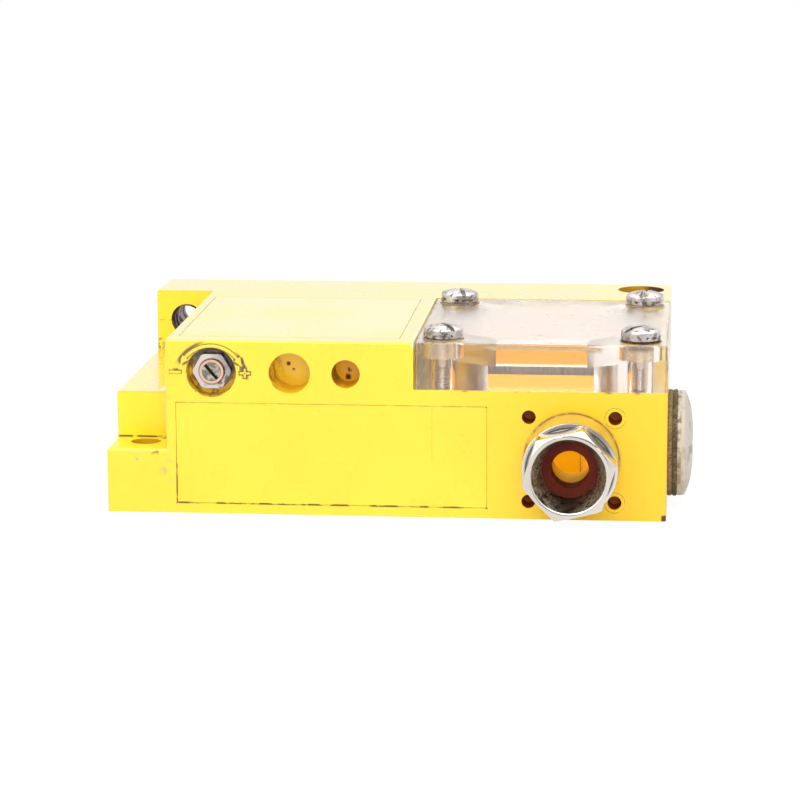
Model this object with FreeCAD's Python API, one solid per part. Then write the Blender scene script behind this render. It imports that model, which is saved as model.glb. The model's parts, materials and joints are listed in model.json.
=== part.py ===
"""Block-shaped inductive proximity sensor with a terminal chamber, a cable gland and an adjuster.

Millimetres, +Z up. The origin is the centre of the housing's base: +X runs to the end with the
blanking plug, and -Y is the front, where the gland and the adjuster are.
"""
import FreeCAD, Part
import math
import os

V = FreeCAD.Vector

# Housing block
LENGTH = 130.0
DEPTH = 90.0
HEIGHT = 41.0
EDGE_ROUND = 0.8
BASE_WALL = 4.4
REAR_WALL = 3.0
PARTITION = 6.5

# Stepped mounting lug at the left end
LUG_LENGTH = 14.0
FOOT_DEPTH = 14.0
FOOT_HEIGHT = 15.0
SHELF_DEPTH = 57.0
SHELF_HEIGHT = 26.0
LUG_COVE = 4.0

# Two vertical mounting holes, on a diagonal
HOLE_INSET_X = 7.7
HOLE_INSET_Y = 9.0
HOLE_R = 3.5
COUNTERBORE_R = 5.8

# Steel bush in the rear tab
BUSH_BELOW_TOP = 7.5
BUSH_BORE_R = 3.5
BUSH_WALL = 0.5
BUSH_INSET = 0.3

# Clearances
PRESS_GAP = 0.02
RUN_GAP = 0.05
SEAM_GAP = 0.15
SOFT_GAP = 0.2

# Clear terminal cover and the octagonal collar under it
COVER_LENGTH = 58.3
REAR_STRIP = 26.0
COVER_HEIGHT = 11.0
COVER_WALL = 4.0
COVER_ROOF = 2.4
LOWER_POCKET = 5.3
POCKET_LEG = 13.0
LEDGE = 4.0
COLLAR_HEIGHT = 3.3
COLLAR_GAP = 0.3
GASKET_INSET = 0.4

# Cover screws with their washers, seals and inserts
SCREW_INSET = 6.4
SCREW_R = 2.5
SCREW_HOLE_R = 2.9
SCREW_LENGTH = 20.0
SCREW_HEAD_R = 4.6
SCREW_HEAD_RIM = 1.5
SCREW_HEAD_DOME = 1.6
SCREW_SLOT = 1.1
SCREW_SLOT_DEPTH = 1.4
SCREW_TIP_ROOM = 1.0
WASHER_R = 4.5
WASHER_HOLE_R = 2.7
WASHER_HEIGHT = 0.8
SEAL_POCKET_R = 4.85
SEAL_POCKET_DEPTH = 4.0
INSERT_R = 3.3
INSERT_LENGTH = 10.0

# Cable gland in its boss on the front
ENTRY_ABOVE_BASE = 14.1
ENTRY_THREAD_R = 9.3
GLAND_FROM_RIGHT = 21.8
BOSS_WALL = 1.5
BOSS_LENGTH = 10.6
GLAND_LIP = 0.1
GLAND_FLANGE = 1.0
GLAND_HEX_LENGTH = 6.6
GLAND_HEX_TURN = 13.0
GLAND_HEX_RIM = 1.25
GLAND_FLARE = 1.85
GLAND_SHOULDER = 1.0
GLAND_MOUTH_ROUND = 0.5
GLAND_HEX_CHAMFER = 0.9
SKIRT_WALL = 1.9
SKIRT_LENGTH = 5.6
SLIP_RING = 0.5
GLAND_SEAL = 5.6
GLAND_SEAL_BORE_R = 4.3
PASSAGE_STEP = 0.5

# Four screw holes round the gland, for a flange connector
FLANGE_PITCH = 19.8
FLANGE_HOLE_R = 1.6
FLANGE_HOLE_DEPTH = 6.0

# Blanking plug in the second entry, on the right end
PLUG_FROM_FRONT = 22.0
PLUG_HEAD_R = 12.45
PLUG_HEAD = 3.7
PLUG_HEAD_RIM = 1.8
PLUG_CROWN_R = 9.5
PLUG_SHANK = 7.5
PLUG_SLOT = 2.2
PLUG_SLOT_DEPTH = 1.6
PLUG_GASKET_R = 12.7
PLUG_GASKET = 2.2

# Front closing plate
PLATE_INSET_LEFT = 2.4
PLATE_FROM_RIGHT = 41.3
PLATE_ABOVE_BASE = 2.4
PLATE_BELOW_TOP = 14.75
PLATE_THICK = 2.5
PLATE_LEDGE = 2.0

# Label plate on top
LABEL_INSET_LEFT = 2.6
LABEL_INSET_RIGHT = 3.5
LABEL_FROM_FRONT = 4.7
LABEL_FROM_COVER_REAR = 2.5
LABEL_THICK = 0.3

# Sensitivity adjuster: potentiometer behind the front wall
POT_FROM_LEFT = 24.8
ROW_BELOW_TOP = 7.6
POT_RECESS_R = 5.7
POT_RECESS_DEPTH = 4.2
POT_PANEL = 3.0
POT_BODY = 9.6
POT_BODY_LENGTH = 8.0
POT_WALL = 1.2
POT_FRONT_WALL = 1.5
POT_ROOM = 0.5
POT_LEAD_PITCH = 2.5
POT_BUSHING_WALL = 0.6
POT_NUT_AF = 8.0
POT_NUT = 2.4
POT_WASHER_R = 4.6
POT_WASHER = 0.5
BUSHING_PROUD = 0.7
SHAFT_R = 2.15
SHAFT_PROUD = 0.3
SHAFT_SLOT = 0.75
SHAFT_SLOT_DEPTH = 1.1
SHAFT_SLOT_ANGLE = -50.0
WIPER = 0.8
WIPER_R = 3.3
WIPER_GAP = 0.6
WIPER_BRUSH_R = 0.5
TRACK = 1.2

# Blind recess and status lamp, spaced between the adjuster and the cover
RECESS_SHARE = 0.39
RECESS_R = 4.75
RECESS_DEPTH = 10.0
LED_SHARE = 0.667
LED_RECESS_R = 3.3
LED_RECESS_DEPTH = 10.0
LED_WINDOW = 1.2
LED_PANEL = 2.0
LED_R = 2.45
LED_FLANGE_R = 2.9
LED_FLANGE = 1.0
LED_ROOM = 0.6
LED_LEAD_PITCH = 2.54
LED_LEAD_STUB = 2.0

# Sensing coil against the rear wall
COIL_FROM_LEFT = 45.0
CORE_ROOM = 0.9
CORE_LENGTH = 9.0
CORE_BACK = 2.5
CORE_RIM = 1.6
WINDOW_WIDTH = 3.825
CORE_SLOT = 4.0
FORMER_WALL = 0.6
FORMER_GAP = 0.2
COIL_LEAD_PITCH = 2.4

# Circuit board and what stands on it
BOARD_STANDOFF = 2.0
BOARD_THICK = 1.6
BOARD_MARGIN = 1.0
BOARD_FROM_COIL = 3.0
POST_R = 2.4
POST_INSET = 3.5
BOARD_SCREW_R = 0.95
BOARD_SCREW_HEAD_R = 2.0
BOARD_SCREW_HEAD = 1.3
BOARD_SCREW_LENGTH = 3.0
WIRE_R = 0.35
CHIP_LENGTH = 9.8
CHIP_WIDTH = 6.4
CHIP_HEIGHT = 3.3
CHIP_LIFT = 0.6
CHIP_LEGS = 4
CHIP_LEG_PITCH = 2.54
CHIP_LEG = 0.5
CHIP_FROM_LEFT = 12.0
CAPACITORS = 2
CAPACITOR_R = 3.15
CAPACITOR_HEIGHT = 7.0
CAPACITOR_PITCH = 9.0
CAPACITOR_FROM_LEFT = 6.0
TRANSISTOR_WIDTH = 10.0
TRANSISTOR_LENGTH = 9.0
TRANSISTOR_HEIGHT = 4.4
TRANSISTOR_TAB = 6.0
TRANSISTOR_TAB_THICK = 1.3
TRANSISTOR_HOLE_R = 1.8
TRANSISTOR_FROM_RIGHT = 8.0
TRANSISTOR_FROM_REAR = 8.75
BOARD_PART_SPACING = 12.0

# Terminal block on its base in the chamber
BASE_LENGTH = 29.6
BASE_FROM_FRONT = 26.0
BASE_HEIGHT = 7.0
POLES = 4
POLE_PITCH = 5.6
BLOCK_INSET = 1.5
BLOCK_WIDTH = 9.0
BLOCK_HEIGHT = 9.0
POLE_WALL = 1.0
POLE_HEIGHT = 4.6
POLE_FLOOR = 1.2
CLAMP_WALL = 0.8
TERMINAL_SCREW_R = 1.5
TERMINAL_SCREW_HEAD_R = 1.9
TERMINAL_SCREW_SUNK = 0.8
TERMINAL_SCREW_HEAD = 1.4
TERMINAL_SCREW_SLOT = 0.6
PIN_R = 0.6
PIN_LANE = 1.7
PIN_FROM_RIGHT = 4.0

# Places worked out from the sizes above
X_LEFT = -LENGTH / 2
X_RIGHT = LENGTH / 2
Y_FRONT = -DEPTH / 2
Y_REAR = DEPTH / 2
BODY_X = X_LEFT + LUG_LENGTH
SHELF_Y = Y_FRONT + FOOT_DEPTH
TAB_Y = SHELF_Y + SHELF_DEPTH
BUSH_R = BUSH_BORE_R + BUSH_WALL
BUSH_X = X_LEFT + HOLE_INSET_X
BUSH_Z = HEIGHT - BUSH_BELOW_TOP
COVER_X = X_RIGHT - COVER_LENGTH
COVER_REAR = Y_REAR - REAR_STRIP
SHOULDER_Z = HEIGHT - COVER_HEIGHT
LEDGE_Z = SHOULDER_Z + LOWER_POCKET
COLLAR_Z = SHOULDER_Z + COLLAR_HEIGHT
SCREW_HEAD_Z = HEIGHT + WASHER_HEIGHT
SCREW_TIP_Z = SCREW_HEAD_Z - SCREW_LENGTH
WALL_TO_CHAMBER = COVER_WALL + LEDGE
CHAMBER_X = COVER_X + WALL_TO_CHAMBER
CHAMBER_FRONT = Y_FRONT + WALL_TO_CHAMBER
GLAND_X = X_RIGHT - GLAND_FROM_RIGHT
PLUG_Y = Y_FRONT + PLUG_FROM_FRONT
BOSS_R = ENTRY_THREAD_R + BOSS_WALL
BOSS_Y = Y_FRONT - BOSS_LENGTH
GLAND_BACK_Y = BOSS_Y - RUN_GAP
SKIRT_BORE_R = ENTRY_THREAD_R - SKIRT_WALL
FUNNEL_R = SKIRT_BORE_R - GLAND_SHOULDER
MOUTH_R = FUNNEL_R + GLAND_FLARE
GLAND_AF = 2 * (MOUTH_R + GLAND_HEX_RIM)
SEAL_FRONT_Y = GLAND_BACK_Y + SLIP_RING + 2 * RUN_GAP
SEAL_SEAT_Y = SEAL_FRONT_Y + GLAND_SEAL
PLATE_X0 = BODY_X + PLATE_INSET_LEFT
PLATE_X1 = X_RIGHT - PLATE_FROM_RIGHT
PLATE_Z1 = HEIGHT - PLATE_BELOW_TOP
LABEL_X0 = BODY_X + LABEL_INSET_LEFT
LABEL_X1 = COVER_X - LABEL_INSET_RIGHT
LABEL_Y0 = Y_FRONT + LABEL_FROM_FRONT
LABEL_Y1 = COVER_REAR - LABEL_FROM_COVER_REAR
CAVITY_X0 = PLATE_X0 + PLATE_LEDGE
CAVITY_X1 = CHAMBER_X - PARTITION
CAVITY_Y0 = Y_FRONT + PLATE_THICK
CAVITY_Y1 = Y_REAR - REAR_WALL
CAVITY_Z0 = PLATE_ABOVE_BASE + PLATE_LEDGE
CAVITY_Z1 = PLATE_Z1 - PLATE_LEDGE
ROW_Z = HEIGHT - ROW_BELOW_TOP
POT_X = X_LEFT + POT_FROM_LEFT
RECESS_X = POT_X + RECESS_SHARE * (COVER_X - POT_X)
LED_X = POT_X + LED_SHARE * (COVER_X - POT_X)
POT_FLOOR_Y = Y_FRONT + POT_RECESS_DEPTH
POT_Y0 = POT_FLOOR_Y + POT_PANEL
POT_Y1 = POT_Y0 + POT_BODY_LENGTH
POT_BORE_R = SHAFT_R + RUN_GAP
POT_BUSHING_R = POT_BORE_R + POT_BUSHING_WALL
POT_NUT_Y = POT_FLOOR_Y - POT_WASHER - POT_NUT
BUSHING_Y = POT_NUT_Y - BUSHING_PROUD
SHAFT_Y = BUSHING_Y - SHAFT_PROUD
WIPER_Y = POT_Y0 + POT_FRONT_WALL + WIPER_GAP
LED_FLOOR_Y = Y_FRONT + LED_RECESS_DEPTH
LED_SEAT_Y = LED_FLOOR_Y + LED_PANEL
COIL_X = X_LEFT + COIL_FROM_LEFT
COIL_Z = (CAVITY_Z0 + CAVITY_Z1) / 2
CORE_R = (CAVITY_Z1 - CAVITY_Z0) / 2 - CORE_ROOM
CORE_Y = CAVITY_Y1 - CORE_LENGTH
WINDOW_Y = CORE_Y + CORE_BACK
WINDOW_R = CORE_R - CORE_RIM
CORE_POST_R = WINDOW_R - WINDOW_WIDTH
FORMER_Y = WINDOW_Y + FORMER_GAP
BOARD_Z0 = CAVITY_Z0 + BOARD_STANDOFF
BOARD_Z1 = BOARD_Z0 + BOARD_THICK
BOARD_X0 = CAVITY_X0 + BOARD_MARGIN
BOARD_X1 = CAVITY_X1 - BOARD_MARGIN
BOARD_Y0 = CAVITY_Y0 + BOARD_MARGIN
BOARD_Y1 = CORE_Y - BOARD_FROM_COIL
BASE_Y = Y_FRONT + BASE_FROM_FRONT
BASE_Z = BASE_WALL + BASE_HEIGHT
BLOCK_LENGTH = POLES * POLE_PITCH
BLOCK_X1 = CHAMBER_X + BASE_LENGTH - BLOCK_INSET
BLOCK_X0 = BLOCK_X1 - BLOCK_LENGTH
BLOCK_Y0 = BASE_Y + BLOCK_INSET
BLOCK_Y1 = BLOCK_Y0 + BLOCK_WIDTH
POLE_Y1 = BLOCK_Y1 - POLE_WALL
POLE_MIDDLE_Y = (BLOCK_Y0 + POLE_WALL + POLE_Y1) / 2
POLE_Z0 = BASE_Z + POLE_FLOOR
POLE_Z1 = POLE_Z0 + POLE_HEIGHT
PIN_Z = POLE_Z0 + CLAMP_WALL + SEAM_GAP + PIN_R
SCREW_PLACES = [
    (x, y)
    for x in (COVER_X + SCREW_INSET, X_RIGHT - SCREW_INSET)
    for y in (Y_FRONT + SCREW_INSET, COVER_REAR - SCREW_INSET)
]
SCREW_TURNS = (20.0, 75.0, 140.0, 100.0)
BOARD_MIDDLE_Y = (BOARD_Y0 + BOARD_Y1) / 2
POST_PLACES = [
    (x, y)
    for x in (BOARD_X0 + POST_INSET, BOARD_X1 - POST_INSET)
    for y in (BOARD_Y0 + POST_INSET, BOARD_Y1 - POST_INSET)
]
POLE_PLACES = [BLOCK_X0 + POLE_PITCH * (i + 0.5) for i in range(POLES)]
PIN_LANES = [BLOCK_Y1 + PIN_LANE * (i + 0.5) for i in range(POLES)]

AXES = {"x": V(1, 0, 0), "y": V(0, 1, 0), "z": V(0, 0, 1)}


def box(x0, x1, y0, y1, z0, z1):
    """Box between two corners."""
    return Part.makeBox(x1 - x0, y1 - y0, z1 - z0, V(x0, y0, z0))


def rod(axis, start, radius, length):
    """Cylinder from start along a row axis."""
    return Part.makeCylinder(radius, length, V(*start), AXES[axis])


def tube(axis, start, outer, inner, length):
    """Round sleeve from start along a row axis."""
    return rod(axis, start, outer, length).cut(rod(axis, start, inner, length))


def prism(points, direction):
    """Solid made by pushing a closed outline along a direction."""
    wire = Part.makePolygon([V(*p) for p in points] + [V(*points[0])])
    return Part.Face(wire).extrude(V(*direction))


def turned(axis, centre, profile):
    """Solid turned about a row axis from points of (place along the axis, radius)."""
    points = [V(radius, 0, along) for along, radius in profile]
    face = Part.Face(Part.makePolygon(points + [points[0]]))
    solid = face.revolve(V(0, 0, 0), V(0, 0, 1), 360)
    solid.Placement = FreeCAD.Placement(V(*centre), FreeCAD.Rotation(V(0, 0, 1), AXES[axis]))
    return solid


def octagon(inset, z0, z1):
    """Octagonal prism of the cover's pocket, pulled in evenly by inset."""
    x0 = COVER_X + COVER_WALL + inset
    x1 = X_RIGHT - COVER_WALL - inset
    y0 = Y_FRONT + COVER_WALL + inset
    y1 = COVER_REAR - COVER_WALL - inset
    leg = POCKET_LEG - inset * (2 - math.sqrt(2))
    outline = [
        (x0 + leg, y0), (x1 - leg, y0), (x1, y0 + leg), (x1, y1 - leg),
        (x1 - leg, y1), (x0 + leg, y1), (x0, y1 - leg), (x0, y0 + leg),
    ]
    return prism([(x, y, z0) for x, y in outline], (0, 0, z1 - z0))


def hexagon(x, y, z, across_flats, length, turn):
    """Hexagonal prism along +Y with its first corner at turn degrees from +X."""
    corner = across_flats / math.sqrt(3)
    angles = [math.radians(turn + 60 * i) for i in range(6)]
    outline = [(x + corner * math.cos(a), y, z + corner * math.sin(a)) for a in angles]
    return prism(outline, (0, length, 0))


def joined(solids):
    """Union of solids, with the seams between flush faces removed."""
    return solids[0].fuse(solids[1:]).removeSplitter()


def outer_edges(shape, floor):
    """Outward edges between the flat faces of a block, above the floor level."""
    found = []
    for edge in shape.Edges:
        first, second = shape.ancestorsOfType(edge, Part.Face)
        middle = edge.valueAt((edge.FirstParameter + edge.LastParameter) / 2)
        inward = (second.CenterOfMass - middle).dot(first.normalAt(0, 0)) < 0
        if inward and edge.BoundBox.ZMax > floor:
            found.append(edge)
    return found


def save(name, shape):
    """Write one piece, or one group of like solids, to its own file."""
    if not shape.isValid():
        raise ValueError(name + " is not a valid solid")
    shape.exportStep("parts/" + name + ".step")


def upright_cove(z0, z1):
    """Rounded inner corner between the shelf's front wall and the body's side."""
    corner = box(BODY_X - LUG_COVE, BODY_X, SHELF_Y - LUG_COVE, SHELF_Y, z0, z1)
    return corner.cut(rod("z", (BODY_X - LUG_COVE, SHELF_Y - LUG_COVE, z0), LUG_COVE, z1 - z0))


def level_cove(y0, y1):
    """Rounded inner corner between the shelf's top and the body's side."""
    z1 = SHELF_HEIGHT + LUG_COVE
    corner = box(BODY_X - LUG_COVE, BODY_X, y0, y1, SHELF_HEIGHT, z1)
    return corner.cut(rod("y", (BODY_X - LUG_COVE, y0, z1), LUG_COVE, y1 - y0))


def outer_block():
    """Body with the stepped lug at its left end, rounded outside and coved in the lug's corners."""
    body = joined([
        box(BODY_X, X_RIGHT, Y_FRONT, Y_REAR, 0, HEIGHT),
        box(X_LEFT, BODY_X, TAB_Y, Y_REAR, 0, HEIGHT),
    ])
    body = body.makeFillet(EDGE_ROUND, outer_edges(body, EDGE_ROUND))
    foot = box(X_LEFT, BODY_X + LUG_COVE, Y_FRONT, SHELF_Y + LUG_COVE, 0, FOOT_HEIGHT)
    foot = foot.makeFillet(EDGE_ROUND, outer_edges(foot, EDGE_ROUND))
    shelf = box(X_LEFT, BODY_X + LUG_COVE, SHELF_Y, TAB_Y + LUG_COVE, 0, SHELF_HEIGHT)
    left_edges = [edge for edge in outer_edges(shelf, EDGE_ROUND) if edge.BoundBox.XMax < BODY_X]
    shelf = shelf.makeFillet(EDGE_ROUND, left_edges)
    corner = upright_cove(SHELF_HEIGHT, SHELF_HEIGHT + LUG_COVE)
    corner = corner.common(level_cove(SHELF_Y - LUG_COVE, SHELF_Y))
    return joined([
        body, foot, shelf, corner,
        upright_cove(FOOT_HEIGHT, SHELF_HEIGHT),
        level_cove(SHELF_Y, TAB_Y),
    ])


def mounting_voids():
    """Holes of the base screws and the cross hole of the rear tab."""
    foot = (X_LEFT + HOLE_INSET_X, Y_FRONT + HOLE_INSET_Y, 0)
    rear = (X_RIGHT - HOLE_INSET_X, Y_REAR - HOLE_INSET_Y, 0)
    seat = (rear[0], rear[1], FOOT_HEIGHT)
    return [
        rod("z", foot, HOLE_R, HEIGHT),
        rod("z", rear, HOLE_R, HEIGHT),
        rod("z", seat, COUNTERBORE_R, HEIGHT),
        rod("y", (BUSH_X, SHELF_Y, BUSH_Z), BUSH_R + PRESS_GAP, DEPTH),
    ]


def chamber_voids():
    """Terminal chamber, with the seats of the cover and its screws."""
    voids = [octagon(LEDGE, BASE_WALL, HEIGHT)]
    insert_z = SHOULDER_Z - INSERT_LENGTH
    tip_z = SCREW_TIP_Z - SCREW_TIP_ROOM
    for x, y in SCREW_PLACES:
        voids.append(rod("z", (x, y, insert_z), INSERT_R + PRESS_GAP, COVER_HEIGHT + INSERT_LENGTH))
        voids.append(rod("z", (x, y, tip_z), SCREW_HOLE_R, HEIGHT - tip_z))
    for y in PIN_LANES:
        voids.append(rod("x", (CAVITY_X1, y, PIN_Z), PIN_R + SEAM_GAP, PARTITION + POCKET_LEG))
    return voids


def entry_voids():
    """Gland bore with its seal seat and passage, the flange holes and the plug's hole."""
    bore = SEAL_SEAT_Y - BOSS_Y
    passage = CHAMBER_FRONT + POCKET_LEG - SEAL_SEAT_Y
    voids = [
        rod("y", (GLAND_X, BOSS_Y, ENTRY_ABOVE_BASE), ENTRY_THREAD_R + RUN_GAP, bore),
        rod("y", (GLAND_X, SEAL_SEAT_Y, ENTRY_ABOVE_BASE), GLAND_SEAL_BORE_R + PASSAGE_STEP, passage),
        rod("x", (X_RIGHT - WALL_TO_CHAMBER, PLUG_Y, ENTRY_ABOVE_BASE), ENTRY_THREAD_R + PRESS_GAP, LENGTH),
    ]
    for side in (-1, 1):
        for level in (-1, 1):
            x = GLAND_X + side * FLANGE_PITCH / 2
            z = ENTRY_ABOVE_BASE + level * FLANGE_PITCH / 2
            voids.append(rod("y", (x, Y_FRONT, z), FLANGE_HOLE_R, FLANGE_HOLE_DEPTH))
    return voids


def cavity_voids():
    """Electronics cavity behind the front plate, round the posts that carry the board."""
    cavity = box(CAVITY_X0, CAVITY_X1, Y_FRONT, CAVITY_Y1, CAVITY_Z0, CAVITY_Z1)
    posts = [rod("z", (x, y, CAVITY_Z0), POST_R, BOARD_STANDOFF) for x, y in POST_PLACES]
    voids = [
        cavity.cut(posts),
        box(PLATE_X0, PLATE_X1, Y_FRONT, CAVITY_Y0, PLATE_ABOVE_BASE, PLATE_Z1),
        box(LABEL_X0, LABEL_X1, LABEL_Y0, LABEL_Y1, HEIGHT - LABEL_THICK, HEIGHT),
    ]
    for x, y in POST_PLACES:
        voids.append(rod("z", (x, y, CAVITY_Z0), BOARD_SCREW_R + PRESS_GAP, BOARD_STANDOFF))
    return voids


def adjuster_voids():
    """Recess, bushing hole and inner pocket of the potentiometer."""
    half = POT_BODY / 2 + POT_ROOM
    return [
        rod("y", (POT_X, Y_FRONT, ROW_Z), POT_RECESS_R, POT_RECESS_DEPTH),
        rod("y", (POT_X, Y_FRONT, ROW_Z), POT_BUSHING_R + SEAM_GAP, POT_Y0 - Y_FRONT),
        box(POT_X - half, POT_X + half, POT_Y0, POT_Y1 + POT_BODY, COIL_Z, ROW_Z + half),
    ]


def lamp_voids():
    """Blind recess, and the status lamp's recess with its inner pocket."""
    half = LED_FLANGE_R + LED_ROOM
    rear = LED_SEAT_Y + LED_FLANGE + LED_LEAD_STUB + LED_FLANGE_R
    return [
        rod("y", (RECESS_X, Y_FRONT, ROW_Z), RECESS_R, RECESS_DEPTH),
        rod("y", (LED_X, Y_FRONT, ROW_Z), LED_RECESS_R, LED_RECESS_DEPTH),
        rod("y", (LED_X, Y_FRONT, ROW_Z), LED_R + SEAM_GAP, LED_SEAT_Y - Y_FRONT),
        box(LED_X - half, LED_X + half, LED_SEAT_Y, rear, COIL_Z, ROW_Z + half),
    ]


def housing():
    """Moulded block with everything that it carries cut out of it."""
    seat = box(COVER_X, X_RIGHT, Y_FRONT, COVER_REAR, SHOULDER_Z, HEIGHT)
    boss = rod("y", (GLAND_X, BOSS_Y, ENTRY_ABOVE_BASE), BOSS_R, BOSS_LENGTH + WALL_TO_CHAMBER)
    collar = octagon(COLLAR_GAP, SHOULDER_Z, COLLAR_Z)
    block = joined([outer_block().cut(seat), boss, collar])
    voids = mounting_voids() + chamber_voids() + entry_voids()
    voids += cavity_voids() + adjuster_voids() + lamp_voids()
    return block.cut(voids)


def front_plate():
    """Flush plate that closes the electronics cavity."""
    return box(
        PLATE_X0 + SEAM_GAP, PLATE_X1 - SEAM_GAP, Y_FRONT, CAVITY_Y0,
        PLATE_ABOVE_BASE + SEAM_GAP, PLATE_Z1 - SEAM_GAP,
    )


def label_plate():
    """Thin plate in the recess on top."""
    return box(
        LABEL_X0 + SEAM_GAP, LABEL_X1 - SEAM_GAP, LABEL_Y0 + SEAM_GAP, LABEL_Y1 - SEAM_GAP,
        HEIGHT - LABEL_THICK, HEIGHT,
    )


def side_bush():
    """Steel sleeve of the rear tab's cross hole."""
    length = Y_REAR - TAB_Y - 2 * BUSH_INSET
    return tube("y", (BUSH_X, TAB_Y + BUSH_INSET, BUSH_Z), BUSH_R, BUSH_BORE_R, length)


def terminal_cover():
    """Clear cover with a two-step octagonal pocket and counterbored corner holes."""
    block = box(COVER_X + SEAM_GAP, X_RIGHT, Y_FRONT, COVER_REAR - SEAM_GAP, SHOULDER_Z, HEIGHT)
    block = block.makeFillet(EDGE_ROUND, outer_edges(block, SHOULDER_Z + EDGE_ROUND))
    voids = [octagon(0, SHOULDER_Z, LEDGE_Z), octagon(LEDGE, SHOULDER_Z, HEIGHT - COVER_ROOF)]
    for x, y in SCREW_PLACES:
        voids.append(rod("z", (x, y, SHOULDER_Z), SCREW_HOLE_R, COVER_HEIGHT))
        voids.append(rod("z", (x, y, HEIGHT - SEAL_POCKET_DEPTH), SEAL_POCKET_R, SEAL_POCKET_DEPTH))
    return block.cut(voids)


def cover_gasket():
    """Octagonal rubber ring between the collar and the cover's ledge."""
    return octagon(GASKET_INSET, COLLAR_Z, LEDGE_Z).cut(octagon(LEDGE - GASKET_INSET, COLLAR_Z, LEDGE_Z))


def domed_head(x, y, z, turn):
    """Slotted screw head with a straight rim and a domed top."""
    height = SCREW_HEAD_RIM + SCREW_HEAD_DOME
    dome_r = (SCREW_HEAD_R ** 2 + SCREW_HEAD_DOME ** 2) / (2 * SCREW_HEAD_DOME)
    head = rod("z", (x, y, z), SCREW_HEAD_R, height)
    head = head.common(Part.makeSphere(dome_r, V(x, y, z + height - dome_r)))
    slot_z = z + height - SCREW_SLOT_DEPTH
    slot = box(
        x - SCREW_HEAD_R, x + SCREW_HEAD_R, y - SCREW_SLOT / 2, y + SCREW_SLOT / 2, slot_z, z + height,
    )
    slot.rotate(V(x, y, z), V(0, 0, 1), turn)
    return head.cut(slot)


def cover_screws():
    """Four cover screws, each turned its own way."""
    screws = []
    for (x, y), turn in zip(SCREW_PLACES, SCREW_TURNS):
        shank = rod("z", (x, y, SCREW_TIP_Z), SCREW_R, SCREW_LENGTH)
        screws.append(joined([domed_head(x, y, SCREW_HEAD_Z, turn), shank]))
    return Part.makeCompound(screws)


def sleeves_at_screws(z, outer, inner, height):
    """Four like sleeves on the cover screws' axes."""
    return Part.makeCompound([tube("z", (x, y, z), outer, inner, height) for x, y in SCREW_PLACES])


def gland_nut():
    """Compression screw: hexagon, flange, threaded skirt and a funnel-shaped mouth."""
    flange_y = GLAND_BACK_Y - GLAND_FLANGE
    mouth_y = flange_y - GLAND_HEX_LENGTH
    corner_r = GLAND_AF / math.sqrt(3)
    depth = GLAND_BACK_Y - mouth_y
    axis = (GLAND_X, mouth_y, ENTRY_ABOVE_BASE)
    chamfered = turned("y", axis, [
        (0, 0), (0, GLAND_AF / 2), (GLAND_HEX_CHAMFER, corner_r), (depth, corner_r), (depth, 0),
    ])
    hexed = hexagon(GLAND_X, mouth_y, ENTRY_ABOVE_BASE, GLAND_AF, GLAND_HEX_LENGTH, GLAND_HEX_TURN)
    flange = rod("y", (GLAND_X, flange_y, ENTRY_ABOVE_BASE), BOSS_R + GLAND_LIP, GLAND_FLANGE)
    skirt = rod("y", (GLAND_X, flange_y, ENTRY_ABOVE_BASE), ENTRY_THREAD_R, GLAND_FLANGE + SKIRT_LENGTH)
    funnel = turned("y", axis, [
        (0, 0), (0, MOUTH_R + GLAND_MOUTH_ROUND), (GLAND_MOUTH_ROUND, MOUTH_R),
        (depth, FUNNEL_R), (depth, 0),
    ])
    bore = rod("y", (GLAND_X, GLAND_BACK_Y, ENTRY_ABOVE_BASE), SKIRT_BORE_R, SKIRT_LENGTH)
    return joined([hexed.common(chamfered), flange, skirt]).cut([funnel, bore])


def gland_slip_ring():
    """Ring that lets the nut turn without dragging the seal round."""
    start = (GLAND_X, GLAND_BACK_Y + RUN_GAP, ENTRY_ABOVE_BASE)
    return tube("y", start, SKIRT_BORE_R - RUN_GAP, FUNNEL_R, SLIP_RING)


def gland_seal():
    """Rubber ring that grips the cable."""
    start = (GLAND_X, SEAL_FRONT_Y, ENTRY_ABOVE_BASE)
    return tube("y", start, SKIRT_BORE_R - SOFT_GAP, GLAND_SEAL_BORE_R, GLAND_SEAL)


def blanking_plug():
    """Domed plug with a screwdriver slot and a hollow threaded shank."""
    shank = PLUG_SHANK + PLUG_GASKET
    bore_r = ENTRY_THREAD_R - SKIRT_WALL
    plug = turned("x", (X_RIGHT + PLUG_GASKET, PLUG_Y, ENTRY_ABOVE_BASE), [
        (0, 0), (0, bore_r), (-shank, bore_r), (-shank, ENTRY_THREAD_R), (0, ENTRY_THREAD_R),
        (0, PLUG_HEAD_R), (PLUG_HEAD_RIM, PLUG_HEAD_R), (PLUG_HEAD, PLUG_CROWN_R), (PLUG_HEAD, 0),
    ])
    x1 = X_RIGHT + PLUG_GASKET + PLUG_HEAD
    z0 = ENTRY_ABOVE_BASE - PLUG_SLOT / 2
    slot = box(x1 - PLUG_SLOT_DEPTH, x1, PLUG_Y - PLUG_HEAD_R, PLUG_Y + PLUG_HEAD_R, z0, z0 + PLUG_SLOT)
    return plug.cut(slot)


def plug_gasket():
    """Fibre ring under the plug's head."""
    start = (X_RIGHT, PLUG_Y, ENTRY_ABOVE_BASE)
    return tube("x", start, PLUG_GASKET_R, ENTRY_THREAD_R + SEAM_GAP, PLUG_GASKET)


def pot_body():
    """Potentiometer case, open to the rear."""
    half = POT_BODY / 2
    case = box(POT_X - half, POT_X + half, POT_Y0, POT_Y1 - TRACK, ROW_Z - half, ROW_Z + half)
    well = rod("y", (POT_X, POT_Y0 + POT_FRONT_WALL, ROW_Z), half - POT_WALL, POT_BODY_LENGTH)
    hole = rod("y", (POT_X, POT_Y0, ROW_Z), POT_BORE_R, POT_FRONT_WALL)
    return case.cut([well, hole])


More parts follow.
